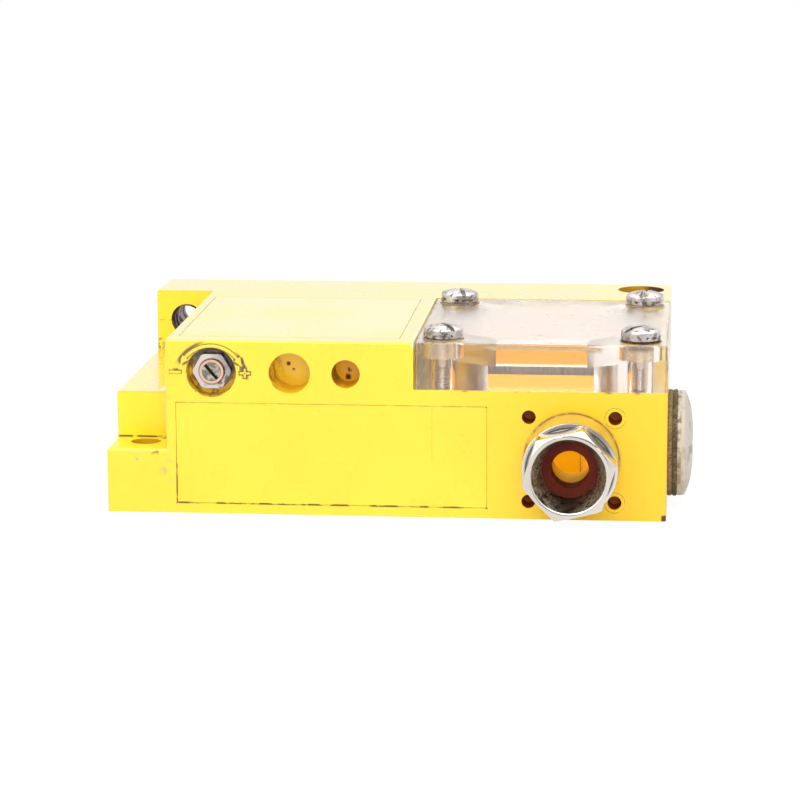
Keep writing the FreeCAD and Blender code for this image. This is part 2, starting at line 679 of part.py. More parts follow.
def pot_bushing():
    """Threaded neck that the nut clamps to the front wall."""
    return tube("y", (POT_X, BUSHING_Y, ROW_Z), POT_BUSHING_R, POT_BORE_R, POT_Y0 - BUSHING_Y)


def pot_nut():
    """Hexagon nut of the neck."""
    nut = hexagon(POT_X, POT_NUT_Y, ROW_Z, POT_NUT_AF, POT_NUT, 0)
    return nut.cut(rod("y", (POT_X, POT_NUT_Y, ROW_Z), POT_BUSHING_R + PRESS_GAP, POT_NUT))


def pot_washer():
    """Washer under the nut."""
    start = (POT_X, POT_FLOOR_Y - POT_WASHER, ROW_Z)
    return tube("y", start, POT_WASHER_R, POT_BUSHING_R + SEAM_GAP, POT_WASHER)


def adjuster_shaft():
    """Slotted shaft that sets the sensitivity."""
    shaft = rod("y", (POT_X, SHAFT_Y, ROW_Z), SHAFT_R, WIPER_Y + WIPER - SHAFT_Y)
    slot = box(
        POT_X - SHAFT_R, POT_X + SHAFT_R, SHAFT_Y, SHAFT_Y + SHAFT_SLOT_DEPTH,
        ROW_Z - SHAFT_SLOT / 2, ROW_Z + SHAFT_SLOT / 2,
    )
    slot.rotate(V(POT_X, SHAFT_Y, ROW_Z), V(0, -1, 0), SHAFT_SLOT_ANGLE)
    return shaft.cut(slot)


def pot_wiper():
    """Disc on the shaft's inner end with a brush that runs on the track."""
    disc = tube("y", (POT_X, WIPER_Y, ROW_Z), WIPER_R, SHAFT_R + PRESS_GAP, WIPER)
    reach = POT_Y1 - TRACK - RUN_GAP - WIPER_Y
    brush_z = ROW_Z + (WIPER_R + SHAFT_R) / 2
    return joined([disc, rod("y", (POT_X, WIPER_Y, brush_z), WIPER_BRUSH_R, reach)])


def pot_track():
    """Base with the resistance track, which closes the case."""
    half = POT_BODY / 2
    return box(POT_X - half, POT_X + half, POT_Y1 - TRACK, POT_Y1, ROW_Z - half, ROW_Z + half)


def pot_leads():
    """Three wires from the track down to the board."""
    top = ROW_Z - POT_BODY / 2
    places = [POT_X + i * POT_LEAD_PITCH for i in (-1, 0, 1)]
    return Part.makeCompound([
        rod("z", (x, POT_Y1 - TRACK / 2, BOARD_Z1), WIRE_R, top - BOARD_Z1) for x in places
    ])


def led_window():
    """Clear disc on the floor of the lamp's recess."""
    return rod("y", (LED_X, LED_FLOOR_Y - LED_WINDOW, ROW_Z), LED_RECESS_R - PRESS_GAP, LED_WINDOW)


def status_led():
    """Round lamp with a rim that seats behind the front wall."""
    nose = LED_PANEL - SEAM_GAP
    round_r = nose / 2
    return turned("y", (LED_X, LED_SEAT_Y, ROW_Z), [
        (-nose, 0), (-nose, LED_R - round_r), (-nose + round_r, LED_R), (0, LED_R),
        (0, LED_FLANGE_R), (LED_FLANGE, LED_FLANGE_R), (LED_FLANGE, 0),
    ])


def led_leads():
    """Two bent wires from the lamp down to the board."""
    y0 = LED_SEAT_Y + LED_FLANGE
    bend_y = y0 + LED_LEAD_STUB
    wires = []
    for side in (-1, 1):
        x = LED_X + side * LED_LEAD_PITCH / 2
        wires.append(joined([
            rod("y", (x, y0, ROW_Z), WIRE_R, LED_LEAD_STUB),
            Part.makeSphere(WIRE_R, V(x, bend_y, ROW_Z)),
            rod("z", (x, bend_y, BOARD_Z1), WIRE_R, ROW_Z - BOARD_Z1),
        ]))
    return Part.makeCompound(wires)


def ferrite_core():
    """Half of a pot core, open towards the rear wall, with a slot for the wires."""
    core = rod("y", (COIL_X, CORE_Y, COIL_Z), CORE_R, CORE_LENGTH)
    window = tube("y", (COIL_X, WINDOW_Y, COIL_Z), WINDOW_R, CORE_POST_R, CORE_LENGTH)
    slot = box(
        COIL_X - CORE_SLOT / 2, COIL_X + CORE_SLOT / 2, CORE_Y, CAVITY_Y1,
        COIL_Z - CORE_R, COIL_Z - CORE_POST_R,
    )
    return core.cut([window, slot])


def coil_former():
    """Bobbin in the core's window."""
    inner = CORE_POST_R + FORMER_GAP
    flange_r = WINDOW_R - FORMER_GAP
    neck_r = inner + FORMER_WALL
    length = CAVITY_Y1 - FORMER_Y
    return turned("y", (COIL_X, FORMER_Y, COIL_Z), [
        (0, inner), (0, flange_r), (FORMER_WALL, flange_r), (FORMER_WALL, neck_r),
        (length - FORMER_WALL, neck_r), (length - FORMER_WALL, flange_r),
        (length, flange_r), (length, inner),
    ])


def coil_winding():
    """Copper winding between the bobbin's cheeks."""
    inner = CORE_POST_R + FORMER_GAP + FORMER_WALL + PRESS_GAP
    outer = WINDOW_R - 2 * FORMER_GAP
    start = (COIL_X, FORMER_Y + FORMER_WALL, COIL_Z)
    return tube("y", start, outer, inner, CAVITY_Y1 - FORMER_Y - 2 * FORMER_WALL)


def coil_leads():
    """Two wires from the bobbin to the board's rear edge."""
    z = BOARD_Z1 + WIRE_R
    start = BOARD_Y1 - POST_INSET
    places = [COIL_X + side * COIL_LEAD_PITCH / 2 for side in (-1, 1)]
    return Part.makeCompound([rod("y", (x, start, z), WIRE_R, FORMER_Y - start) for x in places])


def circuit_board():
    """Board on four posts."""
    board = box(BOARD_X0, BOARD_X1, BOARD_Y0, BOARD_Y1, BOARD_Z0, BOARD_Z1)
    holes = [rod("z", (x, y, BOARD_Z0), BOARD_SCREW_R + SEAM_GAP, BOARD_THICK) for x, y in POST_PLACES]
    return board.cut(holes)


def board_screws():
    """Four screws that hold the board to its posts."""
    screws = []
    for x, y in POST_PLACES:
        head = rod("z", (x, y, BOARD_Z1), BOARD_SCREW_HEAD_R, BOARD_SCREW_HEAD)
        shank = rod("z", (x, y, BOARD_Z1 - BOARD_SCREW_LENGTH), BOARD_SCREW_R, BOARD_SCREW_LENGTH)
        screws.append(joined([head, shank]))
    return Part.makeCompound(screws)


def control_chip():
    """Oscillator and switching chip on two rows of legs."""
    x0 = BOARD_X0 + CHIP_FROM_LEFT
    y0 = BOARD_MIDDLE_Y - BOARD_PART_SPACING / 2
    z0 = BOARD_Z1 + CHIP_LIFT
    solids = [box(x0, x0 + CHIP_LENGTH, y0, y0 + CHIP_WIDTH, z0, z0 + CHIP_HEIGHT)]
    first = x0 + (CHIP_LENGTH - (CHIP_LEGS - 1) * CHIP_LEG_PITCH) / 2
    for i in range(CHIP_LEGS):
        x = first + i * CHIP_LEG_PITCH
        for y in (y0 - CHIP_LEG, y0 + CHIP_WIDTH):
            leg = box(x - CHIP_LEG / 2, x + CHIP_LEG / 2, y, y + CHIP_LEG, BOARD_Z1, z0 + CHIP_HEIGHT / 2)
            solids.append(leg)
    return joined(solids)


def capacitors():
    """Two can capacitors standing on the board."""
    x = BOARD_X0 + CAPACITOR_FROM_LEFT
    first = BOARD_MIDDLE_Y + BOARD_PART_SPACING
    return Part.makeCompound([
        rod("z", (x, first + i * CAPACITOR_PITCH, BOARD_Z1), CAPACITOR_R, CAPACITOR_HEIGHT)
        for i in range(CAPACITORS)
    ])


def output_transistor():
    """Output transistor lying on the board with its cooling tab."""
    x1 = BOARD_X1 - TRANSISTOR_FROM_RIGHT
    x0 = x1 - TRANSISTOR_WIDTH
    y1 = BOARD_Y1 - TRANSISTOR_FROM_REAR - TRANSISTOR_TAB
    y0 = y1 - TRANSISTOR_LENGTH
    body = box(x0, x1, y0, y1, BOARD_Z1, BOARD_Z1 + TRANSISTOR_HEIGHT)
    tab = box(x0, x1, y1, y1 + TRANSISTOR_TAB, BOARD_Z1, BOARD_Z1 + TRANSISTOR_TAB_THICK)
    middle = ((x0 + x1) / 2, y1 + TRANSISTOR_TAB / 2, BOARD_Z1)
    hole = rod("z", middle, TRANSISTOR_HOLE_R, TRANSISTOR_TAB_THICK)
    return joined([body, tab.cut(hole)])


def terminal_base():
    """Moulded base on the chamber's floor, which carries the terminal block."""
    corner = box(COVER_X, CHAMBER_X + BASE_LENGTH, BASE_Y, COVER_REAR, 0, HEIGHT)
    return octagon(LEDGE + SEAM_GAP, BASE_WALL, BASE_Z).common(corner)


def terminal_block():
    """Terminal block with a wire pocket and a screw well for each pole."""
    top = BASE_Z + BLOCK_HEIGHT
    block = box(BLOCK_X0, BLOCK_X1, BLOCK_Y0, BLOCK_Y1, BASE_Z, top)
    half = POLE_PITCH / 2 - POLE_WALL
    voids = []
    for x in POLE_PLACES:
        voids.append(box(x - half, x + half, BLOCK_Y0, POLE_Y1, POLE_Z0, POLE_Z1))
        voids.append(rod("z", (x, POLE_MIDDLE_Y, POLE_Z0), TERMINAL_SCREW_HEAD_R + SEAM_GAP, top - POLE_Z0))
        voids.append(rod("y", (x, POLE_Y1, PIN_Z), PIN_R + SEAM_GAP, POLE_WALL))
    return block.cut(voids)


def wire_clamps():
    """Square sleeves that the screws press on to the wires."""
    half = POLE_PITCH / 2 - POLE_WALL - SEAM_GAP
    y0 = BLOCK_Y0 + POLE_WALL
    y1 = POLE_Y1 - SEAM_GAP
    clamps = []
    for x in POLE_PLACES:
        outer = box(x - half, x + half, y0, y1, POLE_Z0, POLE_Z1 - SEAM_GAP)
        inner = box(
            x - half + CLAMP_WALL, x + half - CLAMP_WALL, y0, y1,
            POLE_Z0 + CLAMP_WALL, POLE_Z1 - SEAM_GAP - CLAMP_WALL,
        )
        hole = rod("z", (x, POLE_MIDDLE_Y, PIN_Z), TERMINAL_SCREW_R + PRESS_GAP, BLOCK_HEIGHT)
        clamps.append(outer.cut([inner, hole]))
    return Part.makeCompound(clamps)


def terminal_screws():
    """Slotted screws of the terminals."""
    head_z = BASE_Z + BLOCK_HEIGHT - TERMINAL_SCREW_SUNK - TERMINAL_SCREW_HEAD
    tip_z = PIN_Z + PIN_R + SEAM_GAP
    screws = []
    for x in POLE_PLACES:
        head = rod("z", (x, POLE_MIDDLE_Y, head_z), TERMINAL_SCREW_HEAD_R, TERMINAL_SCREW_HEAD)
        slot = box(
            x - TERMINAL_SCREW_HEAD_R, x + TERMINAL_SCREW_HEAD_R,
            POLE_MIDDLE_Y - TERMINAL_SCREW_SLOT / 2, POLE_MIDDLE_Y + TERMINAL_SCREW_SLOT / 2,
            head_z + TERMINAL_SCREW_HEAD / 2, head_z + TERMINAL_SCREW_HEAD,
        )
        shank = rod("z", (x, POLE_MIDDLE_Y, tip_z), TERMINAL_SCREW_R, head_z - tip_z)
        screws.append(joined([head.cut(slot), shank]))
    return Part.makeCompound(screws)


def terminal_pins():
    """Bent pins from the terminals through the partition down to the board."""
    board_x = BOARD_X1 - PIN_FROM_RIGHT
    start_y = POLE_Y1 - POLE_WALL
    pins = []
    for x, lane in zip(POLE_PLACES, PIN_LANES):
        pins.append(joined([
            rod("y", (x, start_y, PIN_Z), PIN_R, lane - start_y),
            Part.makeSphere(PIN_R, V(x, lane, PIN_Z)),
            rod("x", (board_x, lane, PIN_Z), PIN_R, x - board_x),
            Part.makeSphere(PIN_R, V(board_x, lane, PIN_Z)),
            rod("z", (board_x, lane, BOARD_Z1), PIN_R, PIN_Z - BOARD_Z1),
        ]))
    return Part.makeCompound(pins)


def main():
    """Build every piece and write it to its own file."""
    os.makedirs("parts", exist_ok=True)
    for piece in (
        housing, front_plate, label_plate, side_bush, terminal_cover, cover_gasket, cover_screws,
        gland_nut, gland_slip_ring, gland_seal, blanking_plug, plug_gasket,
        pot_body, pot_bushing, pot_nut, pot_washer, adjuster_shaft, pot_wiper, pot_track, pot_leads,
        led_window, status_led, led_leads, ferrite_core, coil_former, coil_winding, coil_leads,
        circuit_board, board_screws, control_chip, capacitors, output_transistor,
        terminal_base, terminal_block, wire_clamps, terminal_screws, terminal_pins,
    ):
        save(piece.__name__, piece())
    save("lock_washers", sleeves_at_screws(HEIGHT, WASHER_R, WASHER_HOLE_R, WASHER_HEIGHT))
    save("screw_seals", sleeves_at_screws(
        HEIGHT - SEAL_POCKET_DEPTH, SEAL_POCKET_R - SOFT_GAP, SCREW_R + SOFT_GAP, SEAL_POCKET_DEPTH,
    ))
    save("screw_inserts", sleeves_at_screws(
        SHOULDER_Z - INSERT_LENGTH, INSERT_R, SCREW_R + PRESS_GAP, INSERT_LENGTH,
    ))


main()
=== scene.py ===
"""Looks of a block-shaped inductive proximity sensor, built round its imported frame.

Sizes in the dataclass fields are millimetres in the row frame: +X to the end with the blanking
plug, -Y to the front with the gland and the adjuster, +Z up. Meshes are written in metres.
"""

import json
import logging
import math
from collections.abc import Callable
from dataclasses import dataclass
from enum import Enum
from functools import partial

import bmesh
import bpy
import numpy as np
from mathutils import Matrix, Vector


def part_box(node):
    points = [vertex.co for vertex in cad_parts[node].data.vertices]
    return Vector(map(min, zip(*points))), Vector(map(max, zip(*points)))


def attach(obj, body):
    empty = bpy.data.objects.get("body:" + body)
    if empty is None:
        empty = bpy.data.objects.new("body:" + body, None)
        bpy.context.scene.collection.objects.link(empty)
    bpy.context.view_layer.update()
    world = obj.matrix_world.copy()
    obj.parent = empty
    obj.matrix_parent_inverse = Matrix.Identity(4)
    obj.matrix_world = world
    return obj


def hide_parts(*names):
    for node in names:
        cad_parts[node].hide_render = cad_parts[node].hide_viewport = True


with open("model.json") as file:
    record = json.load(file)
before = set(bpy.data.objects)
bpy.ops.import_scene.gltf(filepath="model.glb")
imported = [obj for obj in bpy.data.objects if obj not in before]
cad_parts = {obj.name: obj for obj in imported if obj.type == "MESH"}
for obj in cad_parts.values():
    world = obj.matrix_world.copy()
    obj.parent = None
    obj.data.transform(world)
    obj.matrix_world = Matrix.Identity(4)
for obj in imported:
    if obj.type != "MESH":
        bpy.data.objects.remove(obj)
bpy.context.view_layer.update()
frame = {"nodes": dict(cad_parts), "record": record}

Array = np.ndarray
Point = tuple[float, float, float]
Colour = tuple[float, float, float]
Profile = tuple[tuple[float, float], ...]
Socket = bpy.types.NodeSocket

LOG = logging.getLogger("sensor")
MM = 0.001
FULL_TURN = 2 * math.pi
QUARTER_TURN = math.pi / 2
SIXTH_TURN = math.pi / 3
MERGE = 0.002 * MM  # corners that are closer become one
SHARP = math.radians(32)  # edges that bend more stay sharp
HAIR = 0.01  # a step too short to see, in millimetres
UP: Point = (0.0, 0.0, 1.0)
FRONT: Point = (0.0, 1.0, 0.0)
SIDE: Point = (1.0, 0.0, 0.0)

YELLOW: Colour = (0.93, 0.67, 0.012)
LEMON: Colour = (0.94, 0.71, 0.018)
# AMBER is painted into the foot's hole and the counterbore as painted shade.
AMBER: Colour = (0.62, 0.27, 0.012)
BROWN: Colour = (0.11, 0.05, 0.018)
SOOT: Colour = (0.035, 0.026, 0.027)
PLUM: Colour = (0.10, 0.045, 0.045)
RUST: Colour = (0.19, 0.05, 0.012)
DUST: Colour = (0.40, 0.33, 0.24)

RUBS_PER_METRE = 260.0
# Roughness is added where stains lie, and their mask holds painted light and shade as well as grime.
DIRT_AND_PAINTED_LIGHT_ROUGHNESS = 0.3
WEAR_ROUGHNESS = 0.12


def node_box(node: str) -> tuple[Array, Array]:
    """Lowest and highest corner of a CAD node at rest, in millimetres."""
    low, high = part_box(node)
    return np.array(low) / MM, np.array(high) / MM


def node_middle(node: str) -> Point:
    """Middle of a CAD node's box at rest, to the nearest hundredth of a millimetre."""
    low, high = node_box(node)
    return tuple(round(float(value), 2) for value in (low + high) / 2)


POT_X, _, ROW_Z = node_middle("pot_nut")
LAMP_X = node_middle("led_window")[0]
GLAND_X, _, ENTRY_Z = node_middle("gland_seal")
PLUG_Y = node_middle("plug_gasket")[1]
FACE_Y = round(float(node_box("front_plate")[0][1]), 2)
RECESS_X = -21.91  # the blind recess, which no node fills
ARC_Z = 31.8  # middle of the raised sign's arc


class Axis(Enum):
    """Row axes that a local shape's width, breadth and height point along."""

    X = ((0, 1, 0), (0, 0, 1), (1, 0, 0))
    FRONT = ((1, 0, 0), (0, 0, 1), (0, -1, 0))
    Z = ((1, 0, 0), (0, 1, 0), (0, 0, 1))

    def place(self, points: Array, centre: Point) -> Array:
        """Turn local points on to this axis and move their origin to centre."""
        return points @ np.array(self.value, float) + np.array(centre)


class Form(Enum):
    """Shape of the zone that a stain lies in."""

    BOX = "Box"
    RING = "Ring"
    DISC = "Disc"


class Kind(Enum):
    """Family of a finish."""

    PLASTIC = "plastic"
    METAL = "metal"
    CLEAR = "clear"


class Graph:
    """Short hand for the nodes and links of one shader tree.

    Attributes:
        MIX_FACTOR: Number of a colour Mix node's input for the factor.
        MIX_FIRST: Number of its input for the first colour.
        MIX_SECOND: Number of its input for the second colour.
        MIX_RESULT: Number of its output for the colour.
    """

    MIX_FACTOR, MIX_FIRST, MIX_SECOND, MIX_RESULT = 0, 6, 7, 2

    def __init__(self, tree: bpy.types.NodeTree) -> None:
        """Hold the tree that the nodes go into."""
        self.tree = tree

    def feed(self, socket: Socket, value: object) -> None:
        """Link a socket to another one, or set its value.

        Args:
            socket: The input to fill.
            value: An output to link, or a plain value.
        """
        if isinstance(value, Socket):
            self.tree.links.new(value, socket)
        else:
            socket.default_value = value

    def node(self, kind: str, inputs: dict | None = None, **settings: object) -> bpy.types.Node:
        """Add a node.

        Args:
            kind: Node type without its ShaderNode prefix.
            inputs: Values or sockets by input name or number.
            settings: The node's own properties.

        Returns:
            The new node.
        """
        node = self.tree.nodes.new("ShaderNode" + kind)
        for name, value in settings.items():
            setattr(node, name, value)
        for key, value in (inputs or {}).items():
            self.feed(node.inputs[key], value)
        return node

    def group(self, tree: bpy.types.NodeTree, inputs: dict) -> bpy.types.Node:
        """Place a shared node group and fill its inputs."""
        return self.node("Group", inputs, node_tree=tree)

    def math(self, operation: str, first: object, second: object = 0.0, clamp: bool = False) -> Socket:
        """Value of a Math node."""
        node = self.node("Math", {0: first, 1: second}, operation=operation, use_clamp=clamp)
        return node.outputs[0]

    def raised(self, value: object, mask: object, amount: float) -> Socket:
        """Value raised by amount where mask is 1, held between 0 and 1."""
        return self.math("ADD", value, self.math("MULTIPLY", mask, amount), clamp=True)

    def vector(self, operation: str, first: object, second: object = (0.0, 0.0, 0.0)) -> Socket:
        """Vector of a Vector Math node, or its value for a length or a dot product."""
        node = self.node("VectorMath", {0: first, 1: second}, operation=operation)
        return node.outputs["Value" if operation in ("LENGTH", "DOT_PRODUCT") else "Vector"]

    def blend(self, factor: object, first: object, second: object) -> Socket:
        """Colour between two colours.

        Args:
            factor: Share of the second colour.
            first: A colour or a socket.
            second: A colour or a socket.

        Returns:
            The mixed colour.
        """
        node = self.node("Mix", data_type="RGBA")
        values = {self.MIX_FACTOR: factor, self.MIX_FIRST: first, self.MIX_SECOND: second}
        for index, value in values.items():
            self.feed(node.inputs[index], (*value, 1.0) if isinstance(value, tuple) else value)
        return node.outputs[self.MIX_RESULT]

    def span(self, value: object, low: object, high: object, start: float = 0.0, end: float = 1.0) -> Socket:
        """Smooth step from start to end while value goes from low to high."""
        inputs = {"Value": value, "From Min": low, "From Max": high, "To Min": start, "To Max": end}
        return self.node("MapRange", inputs, interpolation_type="SMOOTHSTEP").outputs["Result"]

    def noise(self, vector: object, scale: object, detail: float) -> Socket:
        """Value of a noise of about 0 to 1."""
        return self.node("TexNoise", {"Vector": vector, "Scale": scale, "Detail": detail}).outputs["Fac"]


class Effects:
    """Shader node groups that several finishes share.

    Attributes:
        CLOUDS: Clouds to one grain.
        CLOUD_EDGES: Noise values between which the clouds' shade goes from 0 to 1.
        RUB_DRAW: Squeeze of the rub marks' noise along X, Y and Z.
        RUB_WIDTH: How far the noise is off its middle at a rub mark's edge.
        RUB_PATCHES: Patches of rub marks to the metre.
        RUB_EDGES: Noise values between which such a patch begins.
        BARE_LEVEL: Noise value that a stain without cover begins at.
        LEVEL_FALL: How much lower a stain with full cover begins.
    """

    CLOUDS = 0.05
    CLOUD_EDGES = (0.3, 0.7)
    RUB_DRAW = (1.0, 0.35, 7.0)
    RUB_WIDTH = 0.012
    RUB_PATCHES = 90.0
    RUB_EDGES = (0.52, 0.66)
    BARE_LEVEL = 0.76
    LEVEL_FALL = 0.52

    def __init__(self) -> None:
        """Build every group once."""
        self.skin = self._skin()
        self.rubs = self._rubs()
        self.box = self._box()
        self.round = self._round()
        self.stain = self._stain()

    @staticmethod
    def _tree(
        name: str, inputs: dict[str, str], outputs: dict[str, str]
    ) -> tuple[Graph, dict[str, Socket], bpy.types.Node]:
        """Start a group.

        Args:
            name: The group's name.
            inputs: Socket kind by input name.
            outputs: Socket kind by output name.

        Returns:
            The group's graph, its input sockets by name and its output node.
        """
        tree = bpy.data.node_groups.new(name, "ShaderNodeTree")
        for way, sockets in (("INPUT", inputs), ("OUTPUT", outputs)):
            for label, kind in sockets.items():
                tree.interface.new_socket(name=label, in_out=way, socket_type="NodeSocket" + kind)
        start = tree.nodes.new("NodeGroupInput")
        end = tree.nodes.new("NodeGroupOutput")
        return Graph(tree), {socket.name: socket for socket in start.outputs}, end

    def _skin(self) -> bpy.types.NodeTree:
        """Surface of a moulding or casting: fine grain for bump, slow clouds for shade.

        Returns:
            The group.
        """
        graph, start, end = self._tree(
            "surface_skin", {"Vector": "Vector", "Grain": "Float"}, {"Height": "Float", "Shade": "Float"}
        )
        fine = graph.noise(start["Vector"], start["Grain"], 2.0)
        slow = graph.noise(start["Vector"], graph.math("MULTIPLY", start["Grain"], self.CLOUDS), 4.0)
        graph.feed(end.inputs["Height"], graph.math("ADD", fine, slow))
        graph.feed(end.inputs["Shade"], graph.span(slow, *self.CLOUD_EDGES))
        return graph.tree

    def _rubs(self) -> bpy.types.NodeTree:
        """Fine rub marks: level lines of a noise drawn out one way, broken by a slow noise.

        Returns:
            The group.
        """
        graph, start, end = self._tree(
            "rub_marks", {"Vector": "Vector", "Scale": "Float", "Amount": "Float"}, {"Mask": "Float"}
        )
        drawn = graph.vector("MULTIPLY", start["Vector"], self.RUB_DRAW)
        lines = graph.noise(drawn, start["Scale"], 1.0)
        off = graph.math("ABSOLUTE", graph.math("SUBTRACT", lines, 0.5))
        thin = graph.span(off, 0.0, self.RUB_WIDTH, 1.0, 0.0)
        here = graph.span(graph.noise(start["Vector"], self.RUB_PATCHES, 2.0), *self.RUB_EDGES)
        mask = graph.math("MULTIPLY", thin, here)
        graph.feed(end.inputs["Mask"], graph.math("MULTIPLY", mask, start["Amount"]))
        return graph.tree

    def _box(self) -> bpy.types.NodeTree:
        """Distance outside a box: length of the parts of the offset that pass its half sizes.

        Returns:
            The group.
        """
        graph, start, end = self._tree(
            "box_distance", {"Vector": "Vector", "Centre": "Vector", "Half": "Vector"}, {"Distance": "Float"}
        )
        offset = graph.vector("ABSOLUTE", graph.vector("SUBTRACT", start["Vector"], start["Centre"]))
        past = graph.vector("MAXIMUM", graph.vector("SUBTRACT", offset, start["Half"]))
        graph.feed(end.inputs["Distance"], graph.vector("LENGTH", past))
        return graph.tree

    def _round(self) -> bpy.types.NodeTree:
        """Distance from a circle's line and from its disc, both held to a half length along the axis.

        Returns:
            The group.
        """
        graph, start, end = self._tree(
            "round_distance",
            {"Vector": "Vector", "Centre": "Vector", "Axis": "Vector", "Radius": "Float", "Half": "Float"},
            {"Ring": "Float", "Disc": "Float"},
        )
        offset = graph.vector("SUBTRACT", start["Vector"], start["Centre"])
        along = graph.vector("DOT_PRODUCT", offset, start["Axis"])
        drop = graph.node("VectorMath", {0: start["Axis"], "Scale": along}, operation="SCALE").outputs[0]
        radial = graph.vector("LENGTH", graph.vector("SUBTRACT", offset, drop))
        past = graph.math("SUBTRACT", graph.math("ABSOLUTE", along), start["Half"])
        wide = graph.math("SUBTRACT", radial, start["Radius"])
        graph.feed(end.inputs["Ring"], graph.math("MAXIMUM", graph.math("ABSOLUTE", wide), past))
        graph.feed(end.inputs["Disc"], graph.math("MAXIMUM", wide, past))
        return graph.tree

    def _stain(self) -> bpy.types.NodeTree:
        """Patchy colour inside a zone: near the zone, where a noise passes a level, leaning one way.

        Returns:
            The group.
        """
        graph, start, end = self._tree(
            "stain",
            {
                "Color": "Color", "Stain": "Color", "Under": "Float", "Distance": "Float", "Soft": "Float",
                "Vector": "Vector", "Centre": "Vector", "Lean": "Vector", "Bias": "Float",
                "Scale": "Float", "Cover": "Float", "Strength": "Float", "Blur": "Float",
            },
            {"Color": "Color", "Mask": "Float"},
        )
        near = graph.span(start["Distance"], 0.0, start["Soft"], 1.0, 0.0)
        fall = graph.math("MULTIPLY", start["Cover"], self.LEVEL_FALL)
        level = graph.math("SUBTRACT", self.BARE_LEVEL, fall)
        patch = graph.span(
            graph.noise(start["Vector"], start["Scale"], 4.0),
            graph.math("SUBTRACT", level, start["Blur"]), graph.math("ADD", level, start["Blur"]),
        )
        offset = graph.vector("SUBTRACT", start["Vector"], start["Centre"])
        lean = graph.vector("DOT_PRODUCT", offset, start["Lean"])
        lean = graph.math("ADD", lean, start["Bias"], clamp=True)
        mask = graph.math("MULTIPLY", graph.math("MULTIPLY", near, patch), lean)
        mask = graph.math("MULTIPLY", mask, start["Strength"], clamp=True)
        graph.feed(end.inputs["Color"], graph.blend(mask, start["Color"], start["Stain"]))
        graph.feed(end.inputs["Mask"], graph.math("MAXIMUM", mask, start["Under"]))
        return graph.tree


@dataclass(frozen=True)
class Stain:
    """Zone of grime, wear, painted light, painted shade or other colour on a finish.

    Attributes:
        form: Shape of the zone.
        centre: Middle of the zone.
        size: Half sizes of a box, or radius and half length of a ring or disc.
        colour: Linear colour of the stain.
        soft: Width of the zone's faded edge.
        cover: Share of the zone that is stained, from 0 to 1.
        scale: Patches to the metre.
        strength: How opaque it is.
        blur: Softness of the patches' edges.
        axis: Axis of a ring or disc.
        lean: Direction in which the stain gathers, over its fade length.
        bias: The lean's value at the centre.
    """

    form: Form
    centre: Point
    size: tuple[float, ...]
    colour: Colour
    soft: float
    cover: float = 1.0
    scale: float = 500.0
    strength: float = 1.0
    blur: float = 0.07
    axis: Point = FRONT
    lean: Point = (0.0, 0.0, 0.0)
    bias: float = 1.0

    def lay(
        self, graph: Graph, effects: Effects, coords: Socket, colour: Socket, under: object
    ) -> tuple[Socket, Socket]:
        """Lay this stain over a colour.

        Args:
            graph: The material's graph.
            effects: Shared node groups.
            coords: Object coordinates.
            colour: Colour below the stain.
            under: Mask of the stains below.

        Returns:
            The stained colour and the mask of all stains so far.
        """
        centre = tuple(value * MM for value in self.centre)
        size = tuple(value * MM for value in self.size)
        if self.form is Form.BOX:
            zone = graph.group(effects.box, {"Vector": coords, "Centre": centre, "Half": size})
            distance = zone.outputs["Distance"]
        else:
            zone = graph.group(effects.round, {
                "Vector": coords, "Centre": centre, "Axis": self.axis, "Radius": size[0], "Half": size[1],
            })
            distance = zone.outputs[self.form.value]
        node = graph.group(effects.stain, {
            "Color": colour, "Stain": (*self.colour, 1.0), "Under": under, "Distance": distance,
            "Soft": self.soft * MM, "Vector": coords, "Centre": centre,
            "Lean": tuple(value / MM for value in self.lean), "Bias": self.bias,
            "Scale": self.scale, "Cover": self.cover, "Strength": self.strength, "Blur": self.blur,
        })
        return node.outputs["Color"], node.outputs["Mask"]


# Tables of stains call on_box(centre, size, colour, soft, cover, scale, strength, blur), and so on.
on_box, on_ring, on_disc = (partial(Stain, form) for form in (Form.BOX, Form.RING, Form.DISC))


